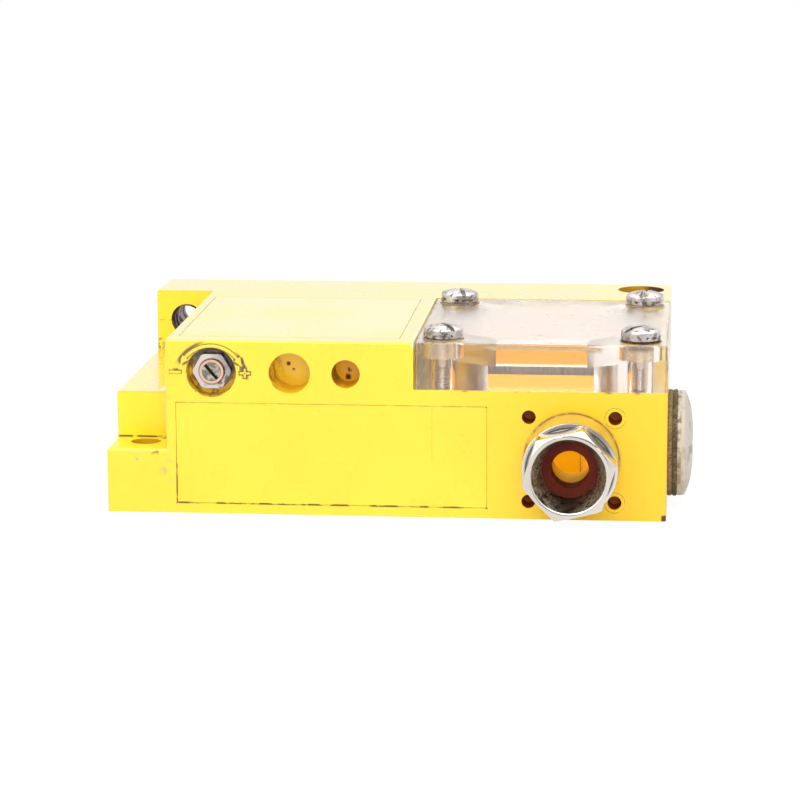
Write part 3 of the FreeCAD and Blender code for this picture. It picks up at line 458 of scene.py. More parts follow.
@dataclass(frozen=True)
class Finish:
    """Material of one slot of the record.

    Attributes:
        slot: The record's slot, which also names the material.
        kind: Family of the finish.
        colour: Linear main colour.
        second: Linear colour of its clouds.
        smooth: Lowest roughness.
        rough: Highest roughness.
        grain: Grains to the metre.
        bump: Depth of the grain in millimetres.
        coat: Weight of the glossy coat.
        coat_rough: Roughness of the coat.
        rubs: Strength of the rub marks.
        rub_colour: Linear colour of the rub marks.
        ior: Refraction of the clear kind.
        clearness: Share of the light that a clear kind lets through.
        gloss: Strength of the plain reflection.
        look: Name of a second finish of the same slot.
        worn: Zones that are only rougher.
        stains: Dirt, wear, painted light and painted shade, laid in order.
    """

    slot: str
    kind: Kind
    colour: Colour
    second: Colour
    smooth: float
    rough: float
    grain: float
    bump: float
    coat: float = 0.0
    coat_rough: float = 0.1
    rubs: float = 0.0
    rub_colour: Colour = BROWN
    ior: float = 1.5
    clearness: float = 1.0
    gloss: float = 0.5
    look: str = ""
    worn: tuple[Stain, ...] = ()
    stains: tuple[Stain, ...] = ()

    def material(self, effects: Effects) -> bpy.types.Material:
        """Build the node material.

        Args:
            effects: Shared node groups.

        Returns:
            The material.
        """
        material = bpy.data.materials.new(self.look or self.slot)
        material.use_nodes = True
        graph = Graph(material.node_tree)
        graph.tree.nodes.clear()
        coords = graph.node("TexCoord").outputs["Object"]
        skin = graph.group(effects.skin, {"Vector": coords, "Grain": self.grain})
        shade = skin.outputs["Shade"]
        clean = graph.blend(shade, self.colour, self.second)
        # The stains laid here are grime and wear, and also painted light and painted shade.
        colour, dirt_and_painted_light = self._lay_dirt_and_painted_light(graph, effects, coords, clean)
        roughness = graph.span(shade, 0.0, 1.0, self.smooth, self.rough)
        if isinstance(dirt_and_painted_light, Socket):
            roughness = graph.raised(roughness, dirt_and_painted_light, DIRT_AND_PAINTED_LIGHT_ROUGHNESS)
        wear: object = 0.0
        for zone in self.worn:
            wear = zone.lay(graph, effects, coords, colour, wear)[1]
            roughness = graph.raised(roughness, wear, WEAR_ROUGHNESS)
        height = {"Height": skin.outputs["Height"], "Distance": self.bump * MM, "Strength": 1.0}
        shader = graph.node("BsdfPrincipled", {
            "Base Color": colour, "Roughness": roughness, "IOR": self.ior, "Specular IOR Level": self.gloss,
            "Normal": graph.node("Bump", height).outputs["Normal"],
        })
        if self.kind is Kind.METAL:
            shader.inputs["Metallic"].default_value = 1.0
        if self.coat:
            shader.inputs["Coat Roughness"].default_value = self.coat_rough
            graph.feed(shader.inputs["Coat Weight"], self._coat_weight(graph, dirt_and_painted_light, wear))
        surface = shader.outputs[0]
        if self.kind is Kind.CLEAR:
            shader.inputs["Transmission Weight"].default_value = self.clearness
            surface = self._let_lamps_through(graph, surface)
        graph.node("OutputMaterial", {"Surface": surface})
        return material

    def _lay_dirt_and_painted_light(
        self, graph: Graph, effects: Effects, coords: Socket, colour: Socket
    ) -> tuple[Socket, object]:
        """Lay the rub marks and the stains, painted light and shade among them, over the clean colour.

        Args:
            graph: The material's graph.
            effects: Shared node groups.
            coords: Object coordinates.
            colour: The clean colour.

        Returns:
            The colour, and the mask of all stains, painted light and shade among them, or 0 where there is
            none.
        """
        mask: object = 0.0
        if self.rubs:
            inputs = {"Vector": coords, "Scale": RUBS_PER_METRE, "Amount": self.rubs}
            mask = graph.group(effects.rubs, inputs).outputs["Mask"]
            colour = graph.blend(mask, colour, self.rub_colour)
        for stain in self.stains:
            colour, mask = stain.lay(graph, effects, coords, colour, mask)
        return colour, mask

    def _coat_weight(self, graph: Graph, dirt_and_painted_light: object, wear: object) -> object:
        """Weight of the coat: it goes where the stains lie, painted light and shade among them, and a clear
        kind has it on worn outsides only.

        Args:
            graph: The material's graph.
            dirt_and_painted_light: Mask of the stains, painted light and shade among them, or 0.
            wear: Mask of the worn zones, or 0.

        Returns:
            A socket, or the plain weight where it is the same all over.
        """
        if self.kind is Kind.CLEAR:
            outside = graph.math("SUBTRACT", 1.0, graph.node("NewGeometry").outputs["Backfacing"])
            return graph.math("MULTIPLY", graph.math("MULTIPLY", outside, wear), self.coat)
        if isinstance(dirt_and_painted_light, Socket):
            return graph.math("MULTIPLY", graph.math("SUBTRACT", 1.0, dirt_and_painted_light, clamp=True), self.coat)
        return self.coat

    def _let_lamps_through(self, graph: Graph, glass: Socket) -> Socket:
        """Mix in a tinted clear shader for rays from the lamps.

        Args:
            graph: The material's graph.
            glass: The shader that other rays meet.

        Returns:
            The mixed shader.
        """
        tint = tuple(math.sqrt(value) for value in self.colour)
        clear = graph.node("BsdfTransparent", {"Color": (*tint, 1.0)}).outputs[0]
        lamp = graph.node("LightPath").outputs["Is Shadow Ray"]
        return graph.node("MixShader", {0: lamp, 1: glass, 2: clear}).outputs[0]


@dataclass(frozen=True)
class Look:
    """Finished material of a piece.

    Attributes:
        slot: The record's slot that it belongs to.
        material: The material.
    """

    slot: str
    material: bpy.types.Material


@dataclass(frozen=True)
class Sheet:
    """Grid of points on a surface.

    Attributes:
        points: Array of rows by columns by 3, in millimetres.
        loop_rows: The last row joins the first.
        loop_columns: The last column joins the first.
    """

    points: Array
    loop_rows: bool = False
    loop_columns: bool = False

    def quads(self, first: int) -> Array:
        """Corner numbers of the faces.

        Args:
            first: Number of the sheet's first point.

        Returns:
            Four numbers for each face.
        """
        rows, columns = self.points.shape[:2]
        index = first + np.arange(rows * columns).reshape(rows, columns)
        if self.loop_rows:
            index = np.vstack([index, index[:1]])
        if self.loop_columns:
            index = np.hstack([index, index[:, :1]])
        corners = (index[:-1, :-1], index[1:, :-1], index[1:, 1:], index[:-1, 1:])
        return np.stack(corners, -1).reshape(-1, 4)


def angles_around(columns: int, start: float = 0.0) -> Array:
    """Even angles of one turn, from start, in radians."""
    return start + FULL_TURN * np.arange(columns) / columns


def spun(points: Array, turn: float) -> Array:
    """Local points turned about their height by an angle in degrees."""
    return points @ np.array(Matrix.Rotation(math.radians(turn), 3, "Z")).T


def turned(heights: Array, radii: Array, angles: Array) -> Array:
    """Surface of turning: each row's radius carried round the axis at its height.

    Args:
        heights: Height of each row.
        radii: Radius of each row, or of each row and angle.
        angles: Angles of the columns.

    Returns:
        Local points, rows by columns by 3.
    """
    wide = np.broadcast_to(radii if radii.ndim == 2 else radii[:, None], (len(heights), len(angles)))
    tall = np.broadcast_to(heights[:, None], wide.shape)
    return np.stack([wide * np.cos(angles), wide * np.sin(angles), tall], -1)


def thread_radius(heights: Array, angles: Array, radius: float, depth: float, pitch: float) -> Array:
    """Radius of a screw thread: a flattened triangle wave of height over pitch less the turn.

    Args:
        heights: Height of each row.
        angles: Angles of the columns.
        radius: Radius of the crests.
        depth: Depth of the roots.
        pitch: Rise of one turn.

    Returns:
        Radii, rows by columns.
    """
    steepness, root_flat = 1.6, 0.3  # in depths of the thread
    phase = (heights[:, None] / pitch - angles[None, :] / FULL_TURN) % 1.0
    wave = np.clip(steepness * (1 - np.abs(2 * phase - 1)) - root_flat, 0.0, 1.0)
    return radius - depth * (1 - wave)


def hexagon_radius(angles: Array, across_flats: float, corner: float, turn: float) -> Array:
    """Radius of a hexagon: half its width over the cosine of the angle off a side's middle, to corner."""
    off_middle = (angles - math.radians(turn)) % SIXTH_TURN - SIXTH_TURN / 2
    return np.minimum(across_flats / 2 / np.cos(off_middle), corner)


def add_piece(
    name: str, sheets: list[Sheet], look: Look, body: str, replaces: tuple[str, ...] = ()
) -> None:
    """Make one closed piece from its sheets and set it in the frame.

    Args:
        name: The piece's name.
        sheets: Its surfaces, in millimetres in the row frame.
        look: Its material and slot.
        body: The body that it rides on.
        replaces: CAD nodes that it stands for.
    """
    points = np.concatenate([sheet.points.reshape(-1, 3) for sheet in sheets]) * MM
    starts = np.cumsum([0] + [sheet.points[..., 0].size for sheet in sheets[:-1]])
    quads = np.concatenate([sheet.quads(int(start)) for sheet, start in zip(sheets, starts)])
    mesh = bpy.data.meshes.new(name)
    mesh.from_pydata(points.tolist(), [], quads.tolist())
    work = bmesh.new()
    work.from_mesh(mesh)
    bmesh.ops.remove_doubles(work, verts=work.verts, dist=MERGE)
    bmesh.ops.dissolve_degenerate(work, edges=work.edges, dist=MERGE / 4)
    bmesh.ops.recalc_face_normals(work, faces=work.faces)
    work.to_mesh(mesh)
    work.free()
    mesh.shade_smooth()
    mesh.set_sharp_from_angle(angle=SHARP)
    mesh.materials.append(look.material)
    piece = bpy.data.objects.new(name, mesh)
    bpy.context.scene.collection.objects.link(piece)
    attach(piece, body)
    if replaces:
        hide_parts(*replaces)
    LOG.info("%s: %d faces", name, len(mesh.polygons))


def corner_places(node: str, inset: float) -> list[tuple[float, float]]:
    """Middles of four round pieces that stand at the corners of a CAD node's box.

    Args:
        node: The CAD node.
        inset: Radius of one piece.

    Returns:
        X and Y of each piece.
    """
    low, high = np.array(node_box(node)) + np.array([[inset], [-inset]])
    return [(float(x), float(y)) for x in (low[0], high[0]) for y in (low[1], high[1])]


@dataclass(frozen=True)
class SlottedHead:
    """Round head with a domed top, a screwdriver slot and whatever hangs below it.

    Attributes:
        radius: Radius of the head.
        rim: Height of its straight side.
        dome: Rise of its top over the rim.
        slot: Width of the slot.
        slot_depth: Depth of the slot below the top.
        bulge: Power of the dome's curve; 2 is a plain dome, more is flatter in the middle.
        edge: Rounding of the rim.
        lip: Width of the slot's eased edges.
        rows: Rows of points at each side of the slot.
        columns: Points along each row.
        floor_share: Share of the slot's width that its floor takes.
    """

    radius: float
    rim: float
    dome: float
    slot: float
    slot_depth: float
    bulge: float
    edge: float = 0.35
    lip: float = 0.1
    rows: int = 16
    columns: int = 41
    floor_share: float = 0.96

    def crown(self, radial: Array) -> Array:
        """Height of the top: the dome falls with a power of the radius, and a quarter round ends it.

        Args:
            radial: Distances from the middle.

        Returns:
            Heights over the seat.
        """
        share = np.clip(radial / self.radius, 0.0, 1.0)
        over = np.clip((radial - self.radius + self.edge) / self.edge, 0.0, 1.0)
        return self.rim + self.dome * (1 - share ** self.bulge) - self.edge * (1 - np.sqrt(1 - over ** 2))

    def top(self) -> Array:
        """Top surface on lines along the slot: each line ends on the rim's circle.

        Returns:
            Local points: width along the slot, breadth across it, height.
        """
        half = self.slot / 2
        start = math.asin((half + self.lip) / self.radius)
        outer = self.radius * np.sin(np.linspace(start, QUARTER_TURN, self.rows))
        inner = half * np.array([-1.0, -self.floor_share, self.floor_share, 1.0])
        across = np.concatenate([-outer[::-1], inner, outer])[:, None]
        reach = np.sqrt(np.maximum(self.radius ** 2 - across ** 2, 0.0))
        along = reach * np.sin(np.linspace(-QUARTER_TURN, QUARTER_TURN, self.columns))[None, :]
        height = self.crown(np.hypot(along, across))
        floor = self.rim + self.dome - self.slot_depth
        on_floor = np.abs(across) < half * (1 + self.floor_share) / 2
        height = np.where(np.abs(across) <= half, height - self.lip / 2, height)
        height = np.where(on_floor, np.minimum(height, floor), height)
        return np.stack([along, np.broadcast_to(across, along.shape), height], -1)

    def sheets(
        self, heights: Array, radii: Callable[[Array, Array], Array], turn: float, axis: Axis, seat: Point
    ) -> list[Sheet]:
        """Top and everything below it, on the same columns, so that they close.

        Args:
            heights: Heights of the rows below the rim, downwards.
            radii: Function of heights and angles that gives their radii.
            turn: Turn of the slot in degrees.
            axis: Row axis that the head points along.
            seat: Middle of the head's underside.

        Returns:
            The top, and the rows round it as a closed ring.
        """
        top = self.top()
        ring = np.concatenate([top[:, 0], top[-2:0:-1, -1]])
        angles = np.arctan2(ring[:, 1], ring[:, 0])
        below = turned(heights, radii(heights, angles), angles)
        skirt = np.concatenate([ring[None], below])
        top, skirt = (axis.place(spun(points, turn), seat) for points in (top, skirt))
        return [Sheet(top), Sheet(skirt, loop_columns=True)]


@dataclass
class CoverScrews:
    """Four cover screws: slotted domed heads on shanks that are threaded below.

    Attributes:
        head: The head.
        shank: Radius of the shank.
        neck: Length of its smooth part.
        length: Its whole length.
        pitch: Pitch of the thread.
        depth: Depth of the thread.
        rows_per_turn: Rows of points on one turn of the thread.
        seat_edge: Chamfer under the head.
        neck_top: First row of the neck below the seat.
        tip: Radius of the tip.
        tip_length: Length over which the shank comes down to the tip.
        turns: Turns of the four slots.
    """

    head: SlottedHead = SlottedHead(radius=4.6, rim=2.05, dome=1.0, slot=1.1, slot_depth=1.2, bulge=2.3)
    shank: float = 2.5
    neck: float = 6.2
    length: float = 19.65
    pitch: float = 0.8
    depth: float = 0.42
    rows_per_turn: int = 5
    seat_edge: float = 0.12
    neck_top: float = 0.2
    tip: float = 1.6
    tip_length: float = 1.0
    turns: tuple[float, ...] = (125.0, 107.0, 40.0, 80.0)

    def radii(self, heights: Array, angles: Array) -> Array:
        """Radius below the head: seat, smooth neck, thread and tip.

        Args:
            heights: Heights of the rows, downwards from the head's rim.
            angles: Angles of the columns.

        Returns:
            Radii, rows by columns.
        """
        cut = thread_radius(heights, angles, self.shank, self.depth, self.pitch)
        radius = np.where(heights[:, None] < -self.neck, cut, self.shank)
        tip = np.clip((heights + self.length) / self.tip_length, 0.0, 1.0)[:, None]
        radius = np.minimum(radius, self.tip + (self.shank - self.tip) * tip)
        seat = (self.head.radius, self.head.radius - self.seat_edge, self.shank)
        radius[:3] = np.array(seat)[:, None]
        radius[-1] = 0.0
        return radius

    def build(self, look: Look) -> None:
        """Make the four screws where the CAD's screws are.

        Args:
            look: Their material.
        """
        seat = float(node_box("cover_screws")[0][2]) + self.length
        rows = np.arange(self.neck, self.length, self.pitch / self.rows_per_turn)
        start = [-self.seat_edge, 0.0, 0.0, self.neck_top, self.neck - HAIR]
        heights = -np.concatenate([start, rows, [self.length, self.length]])
        places = corner_places("cover_screws", self.head.radius)
        for number, (place, turn) in enumerate(zip(places, self.turns), 1):
            sheets = self.head.sheets(heights, self.radii, turn, Axis.Z, (*place, seat))
            add_piece(f"cover_screw_{number}", sheets, look, "housing", ("cover_screws",))


@dataclass
class LockWashers:
    """Split spring washers under the cover screws' heads.

    Attributes:
        outer: Outer radius.
        inner: Inner radius.
        thick: Height of the whole washer.
        edge: Chamfer of its edges.
        split: Half of the gap, as a share of the turn.
        rise: How much higher one end stands than the other.
        steps: Points round the washer.
        turns: Turns of the four gaps.
    """

    outer: float = 4.5
    inner: float = 2.7
    thick: float = 0.43
    edge: float = 0.09
    split: float = 0.035
    rise: float = 0.1
    steps: int = 90
    turns: tuple[float, ...] = (200.0, 330.0, 285.0, 15.0)

    def ring(self) -> Array:
        """Bar with rounded edges carried once round, a little higher at its end than at its start.

        Returns:
            Local points, with the two ends pulled together to close them.
        """
        inner, outer, edge, thick = self.inner, self.outer, self.edge, self.thick
        across, low = np.array([
            (inner, edge), (inner, thick - edge), (inner + edge, thick), (outer - edge, thick),
            (outer, thick - edge), (outer, edge), (outer - edge, 0.0), (inner + edge, 0.0),
        ]).T
        share = np.linspace(self.split, 1 - self.split, self.steps)
        share = np.concatenate([share[:1], share, share[-1:]])
        angles = FULL_TURN * share
        wide = np.broadcast_to(across, (len(share), len(across))).copy()
        tall = low * (thick - self.rise) / thick + self.rise * (share - self.split)[:, None]
        wide[[0, -1]] = (inner + outer) / 2
        tall[[0, -1]] = tall[[1, -2]].mean(axis=1, keepdims=True)
        return np.stack([wide * np.cos(angles)[:, None], wide * np.sin(angles)[:, None], tall], -1)

    def build(self, look: Look) -> None:
        """Make four washers where the CAD's washers are.

        Args:
            look: Their material.
        """
        seat = float(node_box("lock_washers")[0][2])
        ring = self.ring()
        places = corner_places("lock_washers", self.outer)
        for number, (place, turn) in enumerate(zip(places, self.turns), 1):
            sheet = Sheet(Axis.Z.place(spun(ring, turn), (*place, seat)), loop_columns=True)
            add_piece(f"lock_washer_{number}", [sheet], look, "housing", ("lock_washers",))


@dataclass
class FrontPlate:
    """Flush front plate with eased edges, let into the front wall.

    Attributes:
        joint: Width of the gap round it.
        gap: Width of the gap in the CAD model.
        corner: Rounding of its outline's corners.
        least_corner: The smallest that this rounding gets where the outline is pulled in.
        ease: Rounding of its front edge.
        depth: How far its sides go back.
        flat: First step of the back and of the front face.
        corner_steps: Points on each corner.
        ease_steps: Points on the front edge's rounding.
    """

    joint: float = 0.05
    gap: float = 0.15
    corner: float = 0.35
    least_corner: float = 0.05
    ease: float = 0.14
    depth: float = 2.0
    flat: float = 0.1
    corner_steps: int = 7
    ease_steps: int = 5

    def outline(self, low: Array, high: Array, inset: float, depth: float) -> Array:
        """Rectangle with quarter rounds at its corners.

        Args:
            low: Lowest corner of the plate.
            high: Highest corner of the plate.
            inset: How far the rectangle is pulled in.
            depth: How far it lies behind the front face.

        Returns:
            Its points.
        """
        radius = max(self.corner - inset, self.least_corner)
        quarter = np.linspace(0.0, QUARTER_TURN, self.corner_steps)
        turns = np.concatenate([quarter + QUARTER_TURN * side for side in range(4)])
        right = np.repeat([True, False, False, True], self.corner_steps)
        upper = np.repeat([True, True, False, False], self.corner_steps)
        pull = inset + radius
        across = np.where(right, high[0] - pull, low[0] + pull) + radius * np.cos(turns)
        level = np.where(upper, high[2] - pull, low[2] + pull) + radius * np.sin(turns)
        return np.stack([across, np.full(len(turns), FACE_Y + depth), level], -1)

    def build(self, look: Look) -> None:
        """Make the plate: its outline carried from the back over a quarter round to the front face.

        Args:
            look: Its material.
        """
        low, high = node_box("front_plate")
        grow = self.gap - self.joint
        low, high = low - grow, high + grow
        bend = np.linspace(0.0, QUARTER_TURN, self.ease_steps)
        insets = np.concatenate([[0.0, 0.0], self.ease * (1 - np.cos(bend)), [self.ease + self.flat]])
        depths = [[self.depth, self.depth - self.flat], self.ease * (1 - np.sin(bend)), [0.0]]
        rows = [
            self.outline(low, high, inset, depth) for inset, depth in zip(insets, np.concatenate(depths))
        ]
        back, front = rows[0].copy(), rows[-1].copy()
        for cap in (back, front):
            cap[:, [0, 2]] = ((low + high) / 2)[[0, 2]]
        sheet = Sheet(np.stack([back, *rows, front]), loop_columns=True)
        add_piece("flush_front_plate", [sheet], look, "housing", ("front_plate",))


@dataclass
class CoverGasket:
    """Octagonal rubber ring with upright ribs on its outside.

    Attributes:
        leg: How far the octagon's slanting sides cut into the rectangle.
        width: Width of the ring.
        outer_edge: Chamfer of its outer edges.
        inner_edge: Chamfer of its inner edges.
        rib: Depth of the ribs.
        ribs_per_mm: Ribs to the millimetre.
        side: Mean length of the octagon's sides.
        corners: Corners of the octagon.
        steps: Points round the ring.
    """

    leg: float = 12.77
    width: float = 3.2
    outer_edge: float = 0.25
    inner_edge: float = 0.2
    rib: float = 0.28
    ribs_per_mm: float = 0.95
    side: float = 22.0
    corners: int = 8
    steps: int = 1120

    def outline(self, inset: Array, share: Array, low: Array, high: Array) -> Array:
        """Points of an octagon pulled in by inset, at a share of its way round.

        Args:
            inset: Inset of each point.
            share: Place of each point, in corners passed.
            low: Lowest corner of the ring.
            high: Highest corner of the ring.

        Returns:
            Points in the plane, as an array with a last axis of 2.
        """
        x0, y0, x1, y1 = low[0] + inset, low[1] + inset, high[0] - inset, high[1] - inset
        leg = self.leg - inset * (2 - math.sqrt(2))
        across = np.stack([x0 + leg, x1 - leg, x1, x1, x1 - leg, x0 + leg, x0, x0])
        along = np.stack([y0, y0, y0 + leg, y1 - leg, y1, y1, y1 - leg, y0 + leg])
        corners = np.stack([across, along], -1)
        side = np.floor(share).astype(int) % self.corners
        part = (share % 1.0)[..., None]
        first = np.take_along_axis(corners, side[None, ..., None], 0)[0]
        second = np.take_along_axis(corners, ((side + 1) % self.corners)[None, ..., None], 0)[0]
        return first * (1 - part) + second * part

    def build(self, look: Look) -> None:
        """Make the ring: a rounded bar whose outside waves in and out along the octagon.

        Args:
            look: Its material.
        """
        low, high = node_box("cover_gasket")
        share = np.linspace(0.0, self.corners, self.steps, endpoint=False)
        ribs = round(self.corners * self.side * self.ribs_per_mm)
        wave = 0.5 + 0.5 * np.cos(FULL_TURN * share / self.corners * ribs)
        base, top = float(low[2]), float(high[2])
        outer, inner, width = self.outer_edge, self.inner_edge, self.width
        rows = np.array([
            (outer, base), (0.0, base + outer), (0.0, top - outer), (outer, top),
            (width - inner, top), (width, top - inner), (width, base + inner), (width - inner, base),
        ])
        inset = np.repeat(rows[:, :1], self.steps, axis=1)
        inset[1:3] += self.rib * wave
        level = np.broadcast_to(rows[:, 1:], inset.shape)
        plane = self.outline(inset, np.broadcast_to(share, inset.shape), low, high)
        sheet = Sheet(np.concatenate([plane, level[..., None]], -1), loop_rows=True, loop_columns=True)
        add_piece("ribbed_cover_gasket", [sheet], look, "housing", ("cover_gasket",))


@dataclass
class Gland:
    """Compression nut of the cable entry: hexagon, flange, threaded skirt and funnel-shaped mouth.

    Heights are counted from the flange's back to the front.

    Attributes:
        across_flats: Width of the hexagon.
        corner: Radius of its corners.
        turn: Its turn in degrees.
        front: Height of the mouth.
        chamfer_from: Height at which the hexagon's chamfer can begin.
        chamfer_steps: Rows on the chamfer.
        cone: Radius of the chamfer's cone at the front.
        cone_slope: Growth of that radius over its height.
        foot: Heights of the hexagon's two lowest rows.
        foot_round: How much wider the lower one is.
        thread: Radius of the thread.
        pitch: Pitch of the thread.
        depth: Depth of the thread.
        skirt: Heights between which the thread runs.
        rows_per_turn: Rows of points on one turn of the thread.
        collar: Heights and radii of the neck and the flange.
        mouth: Heights and radii of the inside, from the front to the skirt's end.
        columns: Points round the nut.
    """

    across_flats: float = 19.0
    corner: float = 10.86
    turn: float = 13.0
    front: float = 7.6
    chamfer_from: float = 6.35
    chamfer_steps: int = 10
    cone: float = 9.32
    cone_slope: float = 1.72
    foot: tuple[float, float] = (1.0, 1.06)
    foot_round: float = 0.05
    thread: float = 9.3
    pitch: float = 1.411
    depth: float = 0.55
    skirt: tuple[float, float] = (-5.2, -0.7)
    rows_per_turn: int = 8
    collar: Profile = (
        (-0.6, 8.75), (0.0, 8.75), (0.0, 10.72), (0.06, 10.84), (0.16, 10.9), (0.8, 10.9), (0.92, 10.85),
        (1.0, 10.7),
    )
    mouth: Profile = (
        (7.6, 8.95), (7.57, 8.75), (7.46, 8.56), (7.28, 8.42), (7.0, 8.28), (3.5, 7.3), (0.35, 6.46),
        (0.1, 6.4), (0.0, 6.5), (0.0, 7.3), (-0.1, 7.4), (-5.5, 7.4), (-5.6, 7.5), (-5.6, 8.8),
    )
    columns: int = 216

    def build(self, look: Look) -> None:
        """Make the nut: one closed profile carried round, held to the hexagon between flange and mouth.

        Args:
            look: Its material.
        """
        angles = angles_around(self.columns, math.radians(self.turn))
        hexagon = hexagon_radius(angles, self.across_flats, self.corner, self.turn)
        skirt = np.arange(*self.skirt, self.pitch / self.rows_per_turn)
        chamfer = np.linspace(self.chamfer_from, self.front, self.chamfer_steps)
        cone = self.cone + (self.front - chamfer) * self.cone_slope
        collar, mouth = np.array(self.collar), np.array(self.mouth)
        heights = np.concatenate([skirt, collar[:, 0], self.foot, chamfer, mouth[:, 0]])
        radii = np.concatenate([
            thread_radius(skirt, angles, self.thread, self.depth, self.pitch),
            np.repeat(collar[:, 1:], self.columns, axis=1),
            np.stack([hexagon + self.foot_round, hexagon]).clip(max=self.corner),
            np.minimum(hexagon[None], cone[:, None]),
            np.repeat(mouth[:, 1:], self.columns, axis=1),
        ])
        centre = (GLAND_X, float(node_box("gland_nut")[0][1]) + self.front, ENTRY_Z)
        points = Axis.FRONT.place(turned(heights, radii, angles), centre)
        add_piece("gland_hex_nut", [Sheet(points, True, True)], look, "gland_cap", ("gland_nut",))


@dataclass
class Plug:
    """Blanking plug with its slotted head, and the fibre ring under it.

    Attributes:
        head: The plug's head.
        seat_edge: Chamfer under the head.
        thread: Radius of the thread.
        depth: Depth of the thread.
        pitch: Pitch of the thread.
        rows_per_turn: Rows of points on one turn of the thread.
        neck: How much slimmer the shank is above and below its thread.
        neck_length: Length of the upper neck.
        end_length: Length of the lower one.
        shank: Length of the shank.
        bore: Radius of its hollow inside.
        roof: Depth of the hollow's roof under the head.
        ring: Radius of the fibre ring.
        ring_inset: How far its rim stays inside that.
        hole: Radius of the ring's hole.
        layers: Heights and insets of the rim of its two pressed layers, from the wall outwards.
        fray: Depth, waves to the turn and start of each of the rim's waves.
        fray_share: Share of the waves at the ring's inner and outer face.
        ring_columns: Points round the ring.
    """

    head: SlottedHead = SlottedHead(
        radius=12.4, rim=1.75, dome=1.9, slot=2.2, slot_depth=0.9, bulge=3.4, edge=0.3, lip=0.15,
        rows=20, columns=57,
    )
    seat_edge: float = 0.15
    thread: float = 9.28
    depth: float = 0.55
    pitch: float = 1.411
    rows_per_turn: int = 6
    neck: float = 0.6
    neck_length: float = 0.6
    end_length: float = 0.4
    shank: float = 9.7
    bore: float = 7.4
    roof: float = 0.3
    ring: float = 12.66
    ring_inset: float = 0.12
    hole: float = 9.5
    layers: Profile = (
        (0.0, 0.35), (0.03, 0.18), (0.2, 0.05), (0.8, 0.02), (1.0, 0.22), (1.08, 0.3), (1.2, 0.2),
        (1.35, 0.06), (1.9, 0.0), (2.1, 0.1), (2.2, 0.3),
    )
    fray: tuple[tuple[float, int, float], ...] = ((0.05, 47, 0.0), (0.035, 83, 1.3), (0.05, 7, 0.4))
    fray_share: tuple[float, float] = (0.6, 1.0)
    ring_columns: int = 300

    def radii(self, heights: Array, angles: Array) -> Array:
        """Radius below the head: seat, thread, end and the hollow inside.

        Args:
            heights: Heights of the rows, downwards from the head's rim.
            angles: Angles of the columns.

        Returns:
            Radii, rows by columns.
        """
        slim = self.thread - self.neck
        radius = thread_radius(heights, angles, self.thread, self.depth, self.pitch)
        radius[:3] = np.array([self.head.radius, self.head.radius - self.seat_edge, slim])[:, None]
        radius[-4:] = np.array([slim, self.bore, self.bore, 0.0])[:, None]
        return radius

    def build(self, plug: Look, fibre: Look) -> None:
        """Make the plug and its ring on the right end.

        Args:
            plug: Material of the plug.
            fibre: Material of the ring.
        """
        low, high = node_box("plug_gasket")
        _, along, level = (float(value) for value in (low + high) / 2)
        rows = np.arange(self.neck_length, self.shank - self.end_length, self.pitch / self.rows_per_turn)
        end = [self.shank, self.shank, self.roof, self.roof]
        heights = -np.concatenate([[-self.seat_edge, 0.0, 0.0], rows, end])
        sheets = self.head.sheets(heights, self.radii, 0.0, Axis.X, (float(high[0]), along, level))
        add_piece("slotted_plug", sheets, plug, "housing", ("blanking_plug",))
        self._ring(fibre, (float(low[0]), along, level), float(high[0] - low[0]))

    def _ring(self, look: Look, seat: Point, thick: float) -> None:
        """Make the ring: two pressed layers whose rims wave a little, from sums of sines of the angle.

        Args:
            look: Its material.
            seat: Middle of its inner face.
            thick: Its thickness.
        """
        angles = angles_around(self.ring_columns)
        fray = sum(depth * np.sin(waves * angles + start) for depth, waves, start in self.fray)
        heights, insets = np.array(self.layers).T
        heights = np.concatenate([heights, [heights[-1], 0.0]]) * thick / heights[-1]
        share = np.linspace(*self.fray_share, len(insets))
        radii = np.concatenate([
            self.ring - self.ring_inset - insets[:, None] + fray[None, :] * share[:, None],
            np.full((2, len(angles)), self.hole),
        ])
        points = Axis.X.place(turned(heights, radii, angles), seat)
        add_piece("plug_fibre_ring", [Sheet(points, True, True)], look, "housing", ("plug_gasket",))


